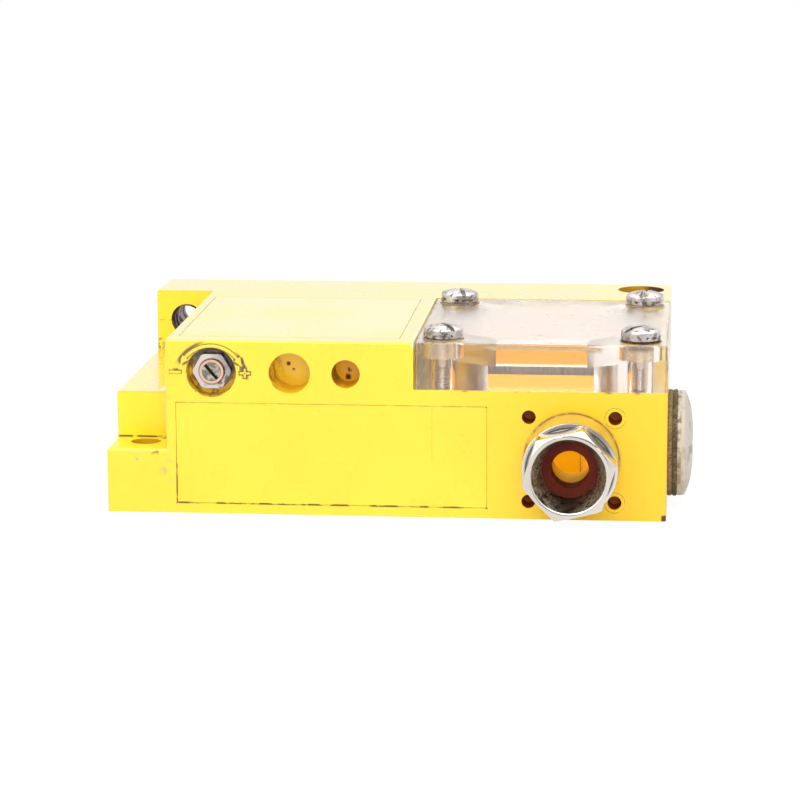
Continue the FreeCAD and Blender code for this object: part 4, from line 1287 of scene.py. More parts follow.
@dataclass
class Adjuster:
    """Nut of the potentiometer and the raised sign round it: a double-headed arc with minus and plus.

    Attributes:
        across_flats: Width of the nut's hexagon.
        corner: Radius of its corners.
        chamfer: Height of the hexagon's chamfers.
        chamfer_steps: Rows on a chamfer.
        cone: Radius of the chamfers' cones at the nut's ends.
        cone_slope: Growth of that radius over its height.
        bore: Radius of the nut's bore.
        bore_edge: Chamfer of the bore.
        nut_columns: Points round the nut.
        arc_radius: Radius of the sign's arc.
        arc_from: Angle of its left end in degrees.
        arc_to: Angle of its right end.
        arc_steps: Points along the line between the arrowheads.
        line: Half width of the arc's line.
        arrow: Half width of its arrowheads.
        arrow_tip: Half width of their points.
        arrow_share: Length of an arrowhead as a share of the arc.
        arrow_steps: Points along an arrowhead.
        arrow_break: Share of the arc between an arrowhead and the line.
        relief: How far the sign stands out.
        sunk: How deep its edges go under the wall's face.
        section: Places across a bar, as shares of its half width, and their shares of the relief.
        bars: Ends of the minus and of the plus's two bars, in X and Z.
        bar_widths: Half widths along such a bar.
        bar_end: Length of its narrower ends, as a share.
    """

    across_flats: float = 8.0
    corner: float = 4.56
    chamfer: float = 0.45
    chamfer_steps: int = 6
    cone: float = 4.4
    cone_slope: float = 1.5
    bore: float = 2.83
    bore_edge: float = 0.3
    nut_columns: int = 120
    arc_radius: float = 7.75
    arc_from: float = 156.0
    arc_to: float = 22.0
    arc_steps: int = 40
    line: float = 0.36
    arrow: float = 0.95
    arrow_tip: float = 0.02
    arrow_share: float = 0.12
    arrow_steps: int = 6
    arrow_break: float = 0.002
    relief: float = 0.3
    sunk: float = 0.06
    section: Profile = ((-0.86, 0.7), (-0.55, 1.0), (0.55, 1.0), (0.86, 0.7))
    bars: tuple[Profile, ...] = (
        ((-50.0, 33.36), (-47.15, 33.36)), ((-33.6, 33.25), (-31.0, 33.25)), ((-32.3, 32.1), (-32.3, 34.4)),
    )
    bar_widths: tuple[float, ...] = (0.04, 0.26, 0.29, 0.29, 0.29, 0.26, 0.04)
    bar_end: float = 0.05

    def build_nut(self, look: Look) -> None:
        """Make the nut: a hexagon cut by a cone at each end, with a chamfered bore.

        Args:
            look: Its material.
        """
        low, high = node_box("pot_nut")
        tall = float(high[1] - low[1])
        angles = angles_around(self.nut_columns)
        hexagon = hexagon_radius(angles, self.across_flats, self.corner, 0.0)
        steps = np.linspace(0.0, self.chamfer, self.chamfer_steps)
        ends = [tall, tall - self.bore_edge, self.bore_edge, 0.0]
        heights = np.concatenate([steps, tall - steps[::-1], ends])
        cone = self.cone + np.concatenate([steps, steps[::-1]]) * self.cone_slope
        bore = self.bore + np.array([self.bore_edge, 0.0, 0.0, self.bore_edge])
        radii = np.concatenate([
            np.minimum(hexagon[None], cone[:, None]), np.repeat(bore[:, None], len(angles), axis=1),
        ])
        points = Axis.FRONT.place(turned(heights, radii, angles), (POT_X, float(high[1]), ROW_Z))
        add_piece("adjuster_nut", [Sheet(points, True, True)], look, "housing", ("pot_nut",))

    def ribbon(self, path: Array, half_width: Array) -> Sheet:
        """Raised bar: a trapezium carried along a path on the front face.

        Args:
            path: Points of X and Z.
            half_width: Half of the bar's width at each point.

        Returns:
            The closed bar.
        """
        way = np.gradient(path, axis=0)
        way /= np.linalg.norm(way, axis=1, keepdims=True)
        side = np.stack([-way[:, 1], way[:, 0]], -1)
        across, share = np.array(self.section).T
        across = np.concatenate([[-1.0], across, [1.0]])
        lift = np.concatenate([[-self.sunk], share * self.relief, [-self.sunk]])[None, :]
        plane = path[:, None] + side[:, None] * (half_width[:, None] * across[None, :])[..., None]
        fall = np.minimum(1.0, half_width / self.line)[:, None]
        depth = FACE_Y - np.where(lift > 0, lift * fall, lift)
        return Sheet(np.stack([plane[..., 0], depth, plane[..., 1]], -1), loop_columns=True)

    def build_sign(self, look: Look) -> None:
        """Make the arc with its two arrowheads, the minus and the plus.

        Args:
            look: Their material.
        """
        share, gap = self.arrow_share, self.arrow_break
        part = np.concatenate([
            np.linspace(0.0, share, self.arrow_steps),
            np.linspace(share + gap, 1 - share - gap, self.arc_steps),
            np.linspace(1 - share, 1.0, self.arrow_steps),
        ])
        angle = np.radians(self.arc_from + (self.arc_to - self.arc_from) * part)
        path = np.array([POT_X, ARC_Z]) + self.arc_radius * np.stack([np.cos(angle), np.sin(angle)], -1)
        end = np.minimum(part, 1 - part)
        head = self.arrow * end / share + self.arrow_tip
        sheets = [self.ribbon(path, np.where(end <= share + gap / 2, head, self.line))]
        for start, stop in self.bars:
            bar = np.linspace(start, stop, len(self.bar_widths))
            step = self.bar_end * (bar[-1] - bar[0])
            bar[1], bar[-2] = bar[0] + step, bar[-1] - step
            sheets.append(self.ribbon(bar, np.array(self.bar_widths)))
        add_piece("adjuster_sign", sheets, look, "housing")


@dataclass
class Winding:
    """Coil winding with its layers of wire.

    Attributes:
        inner: Inner radius.
        wire: Thickness of the wire.
        dip: Depth of the grooves between wires.
        rows_per_wire: Rows of points on each wire.
        columns: Points round the winding.
    """

    inner: float = 4.42
    wire: float = 0.35
    dip: float = 0.1
    rows_per_wire: int = 6
    columns: int = 72

    def build(self, look: Look) -> None:
        """Make the winding: the outside follows the wires' round backs, row by row.

        Args:
            look: Its material.
        """
        low, high = node_box("coil_winding")
        outer = float(high[0] - low[0]) / 2
        tall = float(high[1] - low[1])
        heights = np.linspace(0.0, tall, int(tall / self.wire) * self.rows_per_wire + 1)
        backs = np.abs(np.sin(math.pi * heights / self.wire))
        rows = np.concatenate([heights, [tall, 0.0]])
        radii = np.concatenate([outer - self.dip * (1 - backs), [self.inner, self.inner]])
        across, _, level = (float(value) for value in (low + high) / 2)
        points = turned(rows, radii, angles_around(self.columns))
        sheet = Sheet(Axis.FRONT.place(points, (across, float(high[1]), level)), True, True)
        add_piece("wound_coil", [sheet], look, "housing", ("coil_winding",))


def chamber_painted_light() -> list[Stain]:
    """Painted light and shade of the chamber under the cover: deeper orange on the walls that light reaches
    through the cover, orange painted shade over the front face's right end and on the band under the cover,
    and a pale painted highlight on the wall beside it.

    Returns:
        The stains, in the order in which they are laid.
    """
    return [
        # orange painted shade over the front face's right end, fading over 45 mm
        on_box((58.0, FACE_Y, 12.0), (8.0, 0.5, 12.0), (0.93, 0.56, 0.012), 45.0, strength=0.6),
        # deeper orange inside the chamber, painted light for the light bouncing in through the cover
        on_box((36.0, -13.0, 18.7), (24.9, 28.1, 14.6), (0.95, 0.54, 0.006), 0.1, strength=0.9),
        # pale painted highlight along the top of the wall beside the cover
        on_box((6.6, -13.0, 40.4), (0.12, 32.4, 0.7), (1.0, 0.93, 0.62), 0.15, strength=0.9),
        # orange painted shade on the band under the cover
        on_box((36.0, -13.0, 32.6), (27.2, 30.6, 2.45), (0.90, 0.45, 0.03), 0.1, strength=0.75),
    ]


def recess_dirt_and_painted_light() -> list[Stain]:
    """Colours of the three round recesses and of the four small flange holes: painted light and painted shade
    in the recesses, painted shade in the holes, grime spots, and marks round two holes.

    Returns:
        The stains, in the order in which they are laid.
    """
    pot = ((POT_X, -42.8, ROW_Z), (5.78, 2.15))
    blind = (RECESS_X, -40.0, ROW_Z)
    lamp = ((LAMP_X, -40.5, ROW_Z), (3.4, 4.4))
    # shadow is painted shade in the adjuster's recess, and the third colour is painted shade on the lamp
    # recess's left side
    shadow, grey, lamp_left_shadow = (0.28, 0.10, 0.015), (0.20, 0.175, 0.155), (0.09, 0.03, 0.012)
    hole_step = 9.9
    # painted shade inside the four small flange holes
    holes = [
        on_disc((GLAND_X + side, -41.9, ENTRY_Z + level), (1.7, 3.0), (0.42, 0.10, 0.008), 0.1)
        for side in (-hole_step, hole_step) for level in (-hole_step, hole_step)
    ]
    rims = [
        on_ring((GLAND_X + hole_step, FACE_Y, ENTRY_Z + level), (2.4, 0.1), BROWN, 0.13, 0.7, 900.0, 0.8)
        for level in (-hole_step, hole_step)
    ]
    return [
        # adjuster's recess: orange painted shade, patches of painted shadow, and grey patches towards its top
        on_disc(*pot, (0.92, 0.56, 0.035), 0.1, strength=0.7),
        on_disc(*pot, shadow, 0.1, 0.38, 500.0, 0.85),
        on_disc(*pot, grey, 0.1, 0.9, 420.0, 0.92, lean=(0.15, 0.0, 0.5), bias=0.1),
        # blind recess: bright golden painted light on its floor, and rust-brown painted shade towards its
        # left side
        on_disc(blind, (4.85, 4.95), (1.0, 0.68, 0.025), 0.1, strength=0.9),
        on_disc(blind, (4.85, 5.2), RUST, 0.1, 0.55, 500.0, 0.85, lean=(-0.4, 0.0, -0.05), bias=-1.0),
        on_disc((-23.4, -35.0, 33.9), (0.35, 0.6), BROWN, 0.3, 0.95, 900.0),
        on_disc((-22.2, -35.0, 32.6), (0.15, 0.6), RUST, 0.3, 0.9, 900.0),
        # lamp recess: bright orange painted light, painted shade towards its left side, and rust patches
        # towards its lower right
        on_disc(*lamp, (1.0, 0.62, 0.015), 0.1, strength=0.9),
        on_disc(*lamp, lamp_left_shadow, 0.1, 0.8, 500.0, 0.8, lean=(-0.8, 0.0, 0.0), bias=-1.0),
        on_disc(*lamp, RUST, 0.1, 0.3, 600.0, 0.8, lean=(0.3, 0.0, -0.3), bias=-0.6),
        *holes,
        *rims,
    ]


def sign_stains() -> list[Stain]:
    """Dirt that has gathered round the raised sign.

    Returns:
        The stains, in the order in which they are laid.
    """
    arc = (POT_X, FACE_Y, ARC_Z)
    plus = (-32.3, FACE_Y, 33.25)
    return [
        on_ring(arc, (8.22, 0.4), PLUM, 0.3, 0.85, 500.0, 0.8, lean=(0.0, 0.0, 0.7), bias=-1.8),
        on_ring(arc, (8.6, 0.4), PLUM, 0.7, 0.9, 420.0, 0.95, lean=(-0.68, 0.0, 0.875), bias=-8.3),
        on_ring(arc, (8.5, 0.4), PLUM, 0.5, 0.8, 520.0, 0.9, lean=(1.26, 0.0, 0.54), bias=-10.4),
        on_ring(arc, (7.28, 0.4), PLUM, 0.28, 0.7, 600.0, 0.75, lean=(0.0, 0.0, 0.7), bias=-1.8),
        on_disc((-46.6, FACE_Y, 36.2), (1.0, 0.4), PLUM, 0.35, 0.7, 700.0, 0.8),
        on_disc((-33.75, FACE_Y, 36.2), (1.05, 0.4), PLUM, 0.35, 0.75, 700.0, 0.85),
        on_box((-48.5, FACE_Y, 33.45), (1.45, 0.3, 0.42), RUST, 0.2, 0.75, 700.0, 0.75),
        on_box((-48.4, FACE_Y, 34.0), (0.4, 0.3, 0.1), PLUM, 0.35, 0.75, 800.0, 0.8),
        on_box(plus, (1.4, 0.3, 0.46), PLUM, 0.2, 0.8, 700.0, 0.85),
        on_box(plus, (0.46, 0.3, 1.3), PLUM, 0.2, 0.85, 700.0, 0.85),
        on_box((-32.95, FACE_Y, 34.4), (0.4, 0.3, 0.5), PLUM, 0.4, 0.85, 700.0, 0.85),
        on_ring((POT_X, FACE_Y, ROW_Z), (5.75, 0.3), BROWN, 0.2, 0.7, 700.0, 0.7),
    ]


def wall_dirt_and_painted_light() -> list[Stain]:
    """Colours of the front plate's seam, the stepped lug, the counterbore and the gland's boss: grime, lemon
    painted light on the lug's faces, painted shade in the foot's hole and the counterbore, and bright painted
    light in the passage through the boss.

    Returns:
        The stains, in the order in which they are laid.
    """
    # lemon painted light that keeps the lug's faces from the orange of light bouncing between them
    lug_painted_light = (0.95, 0.80, 0.02)
    counterbore = ((57.3, 36.0, 28.0), (5.9, 12.9))
    plate = [
        on_box((-12.45, FACE_Y, 26.3), (36.3, 0.4, 0.02), RUST, 0.12, 0.6, 350.0, 0.3),
        on_box((-12.45, FACE_Y, 2.35), (36.3, 0.4, 0.02), BROWN, 0.22, 0.55, 350.0, 0.85),
        on_box(
            (-48.6, FACE_Y, 14.3), (0.02, 0.4, 12.0), BROWN, 0.2, 0.6, 350.0, 0.9,
            lean=(0.0, 0.0, -0.06), bias=0.3,
        ),
        on_box((11.0, FACE_Y, 20.5), (0.01, 0.4, 7.2), RUST, 0.12, 0.7, 250.0, 0.35),
    ]
    lug = [
        # lemon painted light on the step's front, the tab's front and the foot's top
        on_box((-58.5, -31.0, 20.3), (7.0, 0.05, 4.9), lug_painted_light, 0.5, strength=0.6),
        on_box((-58.5, 26.0, 33.3), (7.0, 0.05, 6.9), lug_painted_light, 0.5, strength=0.5),
        on_box((-58.5, -38.0, 15.0), (7.0, 6.6, 0.05), (0.95, 0.82, 0.04), 0.4, strength=0.7),
        # darker patches along the foot of the step's wall and at its inner corner
        on_box((-59.5, -31.0, 15.05), (5.2, 0.15, 0.12), BROWN, 0.35, 0.62, 450.0, 0.95),
        on_box((-54.0, -32.2, 15.05), (1.6, 0.6, 0.1), BROWN, 0.6, 0.55, 450.0, 0.8),
        # painted shade inside the foot's hole
        on_disc((-57.3, -36.0, 7.4), (3.6, 7.4), AMBER, 0.1, strength=0.6, axis=UP),
        on_box((-53.6, FACE_Y, 14.2), (0.6, 0.3, 0.25), BROWN, 0.6, 0.4, 900.0, 0.7),
        on_box((-57.9, FACE_Y, 12.9), (0.4, 0.3, 0.3), DUST, 0.6, 0.4, 900.0, 0.7),
        on_box((-50.3, FACE_Y, 6.5), (1.2, 0.3, 5.5), DUST, 1.6, 0.3, 500.0, 0.55),
        on_box((-64.0, 26.0, 27.4), (0.5, 0.3, 1.0), BROWN, 0.7, 0.6, 700.0, 0.9),
        on_box((-62.7, 26.0, 33.4), (1.6, 0.2, 0.02), RUST, 0.2, 0.7, 400.0, 0.4),
        # painted shade inside the counterbore, with brown patches towards +X
        on_disc(*counterbore, AMBER, 0.1, strength=0.75, axis=UP),
        on_disc(*counterbore, BROWN, 0.1, 0.8, 420.0, axis=UP, lean=(0.5, 0.0, 0.0), bias=-0.1),
    ]
    boss = [
        on_disc((GLAND_X, -50.3, ENTRY_Z), (11.2, 5.2), (0.56, 0.36, 0.11), 0.3, 0.75, 160.0, 0.65, 0.22),
        # bright golden painted light on the passage through the boss
        on_disc((GLAND_X, -44.0, ENTRY_Z), (5.0, 9.0), (1.0, 0.66, 0.008), 0.1, strength=0.95),
        on_ring((GLAND_X, FACE_Y, ENTRY_Z), (10.9, 0.3), BROWN, 0.35, 0.6, 400.0, 0.7),
        on_box((64.6, FACE_Y, 0.7), (0.5, 0.4, 0.5), BROWN, 0.45, 0.85, 900.0),
        on_box((36.0, FACE_Y, 29.9), (29.0, 0.4, 0.1), BROWN, 0.3, 0.25, 350.0, 0.8),
        on_box((65.0, PLUG_Y, ENTRY_Z), (0.3, 12.0, 12.0), DUST, 3.0, 0.5, 300.0, 0.4, 0.25),
    ]
    return plate + lug + boss


# Tables of finishes call Finish(slot, kind, colour, second, smooth, rough, grain, bump, coat).
def shell_finishes() -> list[Finish]:
    """Finishes of the housing, its plates, its sign and its bush.

    Returns:
        The finishes.
    """
    plastic, metal = Kind.PLASTIC, Kind.METAL
    # The housing's stains hold painted light and shade of the chamber, recesses and lug as well as grime.
    housing_dirt_and_painted_light = chamber_painted_light() + recess_dirt_and_painted_light() + sign_stains() + wall_dirt_and_painted_light()
    plate_stains = [
        on_box(centre, size, colour, soft, cover, 350.0, strength)
        for centre, size, colour, soft, cover, strength in (
            ((-12.45, FACE_Y, 26.1), (36.3, 0.4, 0.02), RUST, 0.12, 0.5, 0.3),
            ((-12.45, FACE_Y, 2.55), (36.3, 0.4, 0.02), BROWN, 0.25, 0.45, 0.85),
            ((-48.45, FACE_Y, 7.0), (0.02, 0.4, 4.6), BROWN, 0.25, 0.55, 0.8),
            ((11.0, FACE_Y, 20.5), (0.01, 0.4, 7.2), RUST, 0.12, 0.7, 0.35),
        )
    ]
    label_stains = [
        on_box(centre, size, RUST, 0.2, 0.7, 300.0, 0.4)
        for centre, size in (
            ((-22.6, -40.2, 41.0), (25.8, 0.02, 0.4)), ((-22.6, 16.4, 41.0), (25.8, 0.02, 0.4)),
            ((-48.3, -11.9, 41.0), (0.02, 28.2, 0.4)), ((3.1, -11.9, 41.0), (0.02, 28.2, 0.4)),
        )
    ]
    bush_dirt = on_disc((-57.3, 35.5, 33.5), (4.1, 10.0), (0.07, 0.03, 0.025), 0.1, 0.45, 350.0, 0.9)
    gloss = (0.2, 0.34, 1400.0, 0.004, 1.0)
    rubbed = {"rubs": 0.25, "rub_colour": RUST}
    return [
        Finish("yellow_plastic", plastic, YELLOW, LEMON, *gloss, **rubbed, stains=tuple(housing_dirt_and_painted_light)),
        Finish("plate_plastic", plastic, YELLOW, LEMON, *gloss, **rubbed, stains=tuple(plate_stains)),
        Finish(
            "label_film", plastic, (0.93, 0.74, 0.08), LEMON, 0.2, 0.36, 700.0, 0.003, 1.0,
            rubs=0.12, rub_colour=RUST, stains=tuple(label_stains),
        ),
        Finish("yellow_plastic", plastic, LEMON, YELLOW, *gloss, look="raised_sign"),
        Finish(
            "dark_steel", metal, (0.34, 0.27, 0.26), (0.20, 0.14, 0.13), 0.3, 0.5, 500.0, 0.02,
            stains=(bush_dirt,),
        ),
    ]


def cover_finishes() -> list[Finish]:
    """Finishes of the clear cover, its gasket and what screws it down.

    Returns:
        The finishes.
    """
    plastic, metal = Kind.PLASTIC, Kind.METAL
    heads = ((36.0, -13.0, 43.4), (30.0, 32.0, 1.3))
    corner = (58.6, -38.6)
    return [
        Finish(
            "clear_plastic", Kind.CLEAR, (0.99, 0.93, 0.865), (0.985, 0.91, 0.84), 0.1, 0.16, 260.0, 0.002,
            coat=1.0, coat_rough=0.28, ior=1.47, clearness=0.97,
            worn=(on_box((36.0, -13.0, 41.1), (29.4, 32.2, 0.15), DUST, 0.2, 1.0, 300.0, 0.9, blur=0.2),),
            stains=(
                on_box((36.0, FACE_Y, 30.2), (29.0, 0.6, 0.15), BROWN, 0.4, 0.3, 500.0, 0.7),
                # peach painted light on the cover's left wall, for the lit housing wall seen through it
                on_box(
                    (6.85, -13.0, 35.5), (0.2, 32.0, 5.5), (0.93, 0.66, 0.42), 0.5, 0.7, 200.0, 0.8, blur=0.2,
                ),
            ),
        ),
        Finish("grey_rubber", plastic, (0.10, 0.085, 0.09), (0.17, 0.15, 0.15), 0.6, 0.8, 2200.0, 0.02),
        Finish(
            "screw_steel", metal, (0.72, 0.68, 0.66), (0.52, 0.48, 0.45), 0.16, 0.32, 700.0, 0.006,
            rubs=0.6, stains=(
                on_box((36.0, -13.0, 41.9), (30.0, 32.0, 0.3), BROWN, 0.5, 0.45, 600.0, 0.8),
                on_box(*heads, (0.24, 0.20, 0.17), 0.3, 0.38, 380.0, 0.8),
                on_box(*heads, SOOT, 0.3, 0.27, 900.0, 0.9),
            ),
        ),
        Finish(
            "washer_steel", metal, (0.52, 0.48, 0.44), (0.36, 0.30, 0.25), 0.3, 0.5, 900.0, 0.01,
            rubs=0.4,
            stains=(on_box((*corner, 41.4), (6.0, 6.0, 0.8), BROWN, 1.0, 0.75, 700.0, 0.85),),
        ),
        Finish(
            "amber_seal", Kind.CLEAR, (0.99, 0.93, 0.82), (0.98, 0.90, 0.76), 0.2, 0.35, 900.0, 0.006,
            ior=1.42, clearness=0.9,
            stains=(on_box((*corner, 40.4), (6.0, 6.0, 0.6), (0.20, 0.10, 0.045), 0.9, 0.8, 700.0, 0.9),),
        ),
        Finish("brass", metal, (0.66, 0.47, 0.20), (0.52, 0.35, 0.14), 0.25, 0.42, 900.0, 0.006),
    ]


def entry_finishes() -> list[Finish]:
    """Finishes of the gland and of the blanking plug.

    Returns:
        The finishes.
    """
    plastic, metal = Kind.PLASTIC, Kind.METAL
    mouth = ((GLAND_X, -59.0, ENTRY_Z), (8.35, 3.9))
    cream, straw = (0.86, 0.84, 0.64), (0.42, 0.30, 0.12)
    return [
        Finish(
            "nickel_brass", metal, (0.80, 0.76, 0.71), (0.68, 0.62, 0.55), 0.1, 0.26, 700.0, 0.003,
            rubs=0.5, stains=(
                on_disc(*mouth, (0.12, 0.105, 0.08), 0.15, 0.9, 260.0, 0.95),
                on_disc(*mouth, cream, 0.15, 0.58, 1400.0, 0.9, lean=(-0.25, 0.0, -0.05), bias=-0.75),
                on_disc(*mouth, cream, 0.15, 0.62, 1400.0, 0.9, lean=(0.25, 0.0, -0.08), bias=-0.75),
                # painted shadow on the mouth's lower side
                on_disc(*mouth, SOOT, 0.15, 0.4, 500.0, 0.85, lean=(-0.03, 0.0, -0.14), bias=0.0),
                # painted shade in the groove where the hexagon meets the flange
                on_ring((GLAND_X, -56.66, ENTRY_Z), (9.9, 0.06), SOOT, 0.6, 0.9, 200.0, 0.85),
            ),
        ),
        Finish("ring_brass", metal, (0.60, 0.52, 0.38), (0.45, 0.38, 0.27), 0.25, 0.45, 900.0, 0.005),
        Finish(
            "red_rubber", plastic, (0.155, 0.022, 0.012), (0.10, 0.014, 0.009), 0.55, 0.75, 1600.0, 0.03,
            gloss=0.12, stains=(
                on_disc((GLAND_X, -54.0, ENTRY_Z), (7.4, 2.0), (0.06, 0.012, 0.01), 0.2, 0.2, 1500.0, 0.8),
            ),
        ),
        Finish(
            "plug_plastic", plastic, (0.56, 0.51, 0.42), (0.64, 0.59, 0.50), 0.35, 0.5, 900.0, 0.012,
            rubs=0.4, stains=(
                on_disc((67.6, PLUG_Y, ENTRY_Z), (13.0, 0.35), BROWN, 0.4, 0.5, 400.0, 0.7, axis=SIDE),
                on_disc((69.5, PLUG_Y, ENTRY_Z), (13.0, 3.0), DUST, 0.3, 0.35, 260.0, 0.5, axis=SIDE),
            ),
        ),
        Finish(
            "plug_fibre", plastic, (0.24, 0.17, 0.10), (0.15, 0.10, 0.06), 0.7, 0.9, 2400.0, 0.06, stains=(
                on_disc((66.8, PLUG_Y, ENTRY_Z), (13.0, 0.6), SOOT, 0.2, 0.5, 1600.0, 0.7, axis=SIDE),
                on_disc((65.4, PLUG_Y, ENTRY_Z), (13.0, 0.5), straw, 0.2, 0.5, 1600.0, 0.7, axis=SIDE),
            ),
        ),
    ]


def adjuster_finishes() -> list[Finish]:
    """Finishes of the potentiometer and of the lamp.

    Returns:
        The finishes.
    """
    plastic, metal = Kind.PLASTIC, Kind.METAL
    slot_depth = 1.1
    slot_floor = float(node_box("adjuster_shaft")[0][1]) + slot_depth
    pot = (POT_X, -42.0, ROW_Z)
    slate = (0.30, 0.28, 0.30)
    return [
        Finish(
            "shaft_brass", metal, (0.34, 0.33, 0.26), (0.15, 0.145, 0.115), 0.3, 0.5, 1500.0, 0.012,
            rubs=0.6, rub_colour=SOOT, stains=(
                on_disc(pot, (2.3, 6.0), (0.70, 0.64, 0.52), 0.2, 0.42, 1100.0, 0.8),
                # painted shade on the floor of the shaft's slot
                on_disc((POT_X, slot_floor, ROW_Z), (2.3, 0.4), SOOT, 0.2, 0.9, 900.0, 0.9),
            ),
        ),
        Finish("bushing_brass", metal, (0.86, 0.58, 0.42), (0.76, 0.48, 0.34), 0.2, 0.36, 1200.0, 0.006),
        Finish(
            "nut_nickel", metal, (0.97, 0.90, 0.85), (0.72, 0.65, 0.62), 0.16, 0.32, 500.0, 0.01,
            rubs=0.5, stains=(
                on_disc(pot, (5.0, 3.0), slate, 0.3, 0.8, 500.0, 0.8, lean=(0.25, 0.0, 0.1), bias=-0.2),
                on_disc(pot, (5.0, 1.2), BROWN, 0.3, 0.45, 700.0, 0.8),
                on_disc(pot, (5.0, 3.0), BROWN, 0.3, 0.4, 900.0, 0.7, lean=(0.2, 0.0, -0.2), bias=0.1),
            ),
        ),
        Finish("black_plastic", plastic, (0.02, 0.02, 0.02), (0.032, 0.03, 0.03), 0.4, 0.55, 1500.0, 0.008),
        Finish("track_laminate", plastic, (0.26, 0.14, 0.05), (0.19, 0.10, 0.04), 0.45, 0.6, 1200.0, 0.006),
        Finish("tinned_wire", metal, (0.74, 0.73, 0.70), (0.62, 0.61, 0.58), 0.25, 0.4, 1500.0, 0.004),
        Finish(
            "lamp_window", plastic, (1.0, 0.56, 0.01), (0.98, 0.50, 0.008), 0.2, 0.35, 900.0, 0.004, 0.2,
            stains=(
                on_box((-9.25, -36.2, 31.2), (0.25, 0.5, 0.3), SOOT, 0.7, 0.8, 900.0),
                on_box((-8.9, -36.2, 32.9), (0.15, 0.5, 0.2), BROWN, 0.6, 0.75, 900.0),
            ),
        ),
        Finish("lamp_resin", plastic, (0.42, 0.03, 0.02), (0.50, 0.05, 0.03), 0.1, 0.2, 900.0, 0.002, 0.6),
    ]


def inner_finishes() -> list[Finish]:
    """Finishes of the coil, the board and the terminals.

    Returns:
        The finishes.
    """
    plastic, metal = Kind.PLASTIC, Kind.METAL
    seam = on_box((44.25, -19.0, 8.0), (0.05, 0.3, 3.4), SOOT, 0.14, 0.8, 500.0, 0.9)
    return [
        Finish("ferrite", plastic, (0.035, 0.034, 0.037), (0.055, 0.053, 0.056), 0.5, 0.7, 1800.0, 0.02),
        Finish("former_plastic", plastic, (0.56, 0.52, 0.40), (0.62, 0.58, 0.46), 0.4, 0.5, 1200.0, 0.006),
        Finish("copper", metal, (0.62, 0.25, 0.09), (0.50, 0.18, 0.06), 0.2, 0.34, 1500.0, 0.005),
        Finish(
            "board_laminate", plastic, (0.025, 0.11, 0.035), (0.035, 0.14, 0.045), 0.3, 0.45, 2400.0, 0.008,
        ),
        Finish(
            "can_aluminium", plastic, (0.03, 0.04, 0.10), (0.04, 0.05, 0.13), 0.25, 0.35, 900.0, 0.003, 0.3,
        ),
        Finish(
            "base_plastic", plastic, (1.0, 0.62, 0.004), (1.0, 0.66, 0.006), 0.3, 0.45, 1400.0, 0.005, 0.4,
            stains=(seam,),
        ),
        Finish("block_plastic", plastic, (0.42, 0.41, 0.38), (0.48, 0.47, 0.43), 0.4, 0.55, 1400.0, 0.006),
        Finish("clamp_steel", metal, (0.62, 0.60, 0.57), (0.50, 0.48, 0.45), 0.25, 0.42, 1200.0, 0.006),
    ]


def finishes() -> list[Finish]:
    """Finishes of every material slot."""
    return shell_finishes() + cover_finishes() + entry_finishes() + adjuster_finishes() + inner_finishes()


class Wardrobe:
    """Materials by slot, and the dressing of the CAD nodes."""

    def __init__(self) -> None:
        """Build a material for every slot."""
        effects = Effects()
        self.looks = {
            finish.look or finish.slot: Look(finish.slot, finish.material(effects)) for finish in finishes()
        }

    def __getitem__(self, slot: str) -> Look:
        """Look of a slot."""
        return self.looks[slot]

    def dress_nodes(self) -> None:
        """Give every CAD node the material of its slot in the record."""
        for part in frame["record"]["subparts"]:
            node = frame["nodes"][part["node"]]
            node.data.materials.clear()
            node.data.materials.append(self[part["material_slot"]].material)
            LOG.info("%s: dressed as %s", part["node"], part["material_slot"])


@dataclass(frozen=True)
class Lamp:
    """Square soft lamp.

    Attributes:
        name: Its name.
        place: Its place.
        size: Length of its sides in metres.
        watts: Its power.
        in_gloss: It shows in glossy faces; the low lamps don't, because they would glare on the top.
    """

    name: str
    place: Point
    size: float
    watts: float
    in_gloss: bool

    def hang(self, target: Point) -> None:
        """Add the lamp to the scene.

        Args:
            target: The point that it looks at.
        """
        data = bpy.data.lights.new(self.name, "AREA")
        data.size, data.energy = self.size, self.watts
        lamp = bpy.data.objects.new(self.name, data)
        lamp.visible_glossy = self.in_gloss
        lamp.location = Vector(self.place) * MM
        way = Vector(target) * MM - lamp.location
        lamp.rotation_euler = way.to_track_quat("-Z", "Y").to_euler()
        bpy.context.scene.collection.objects.link(lamp)


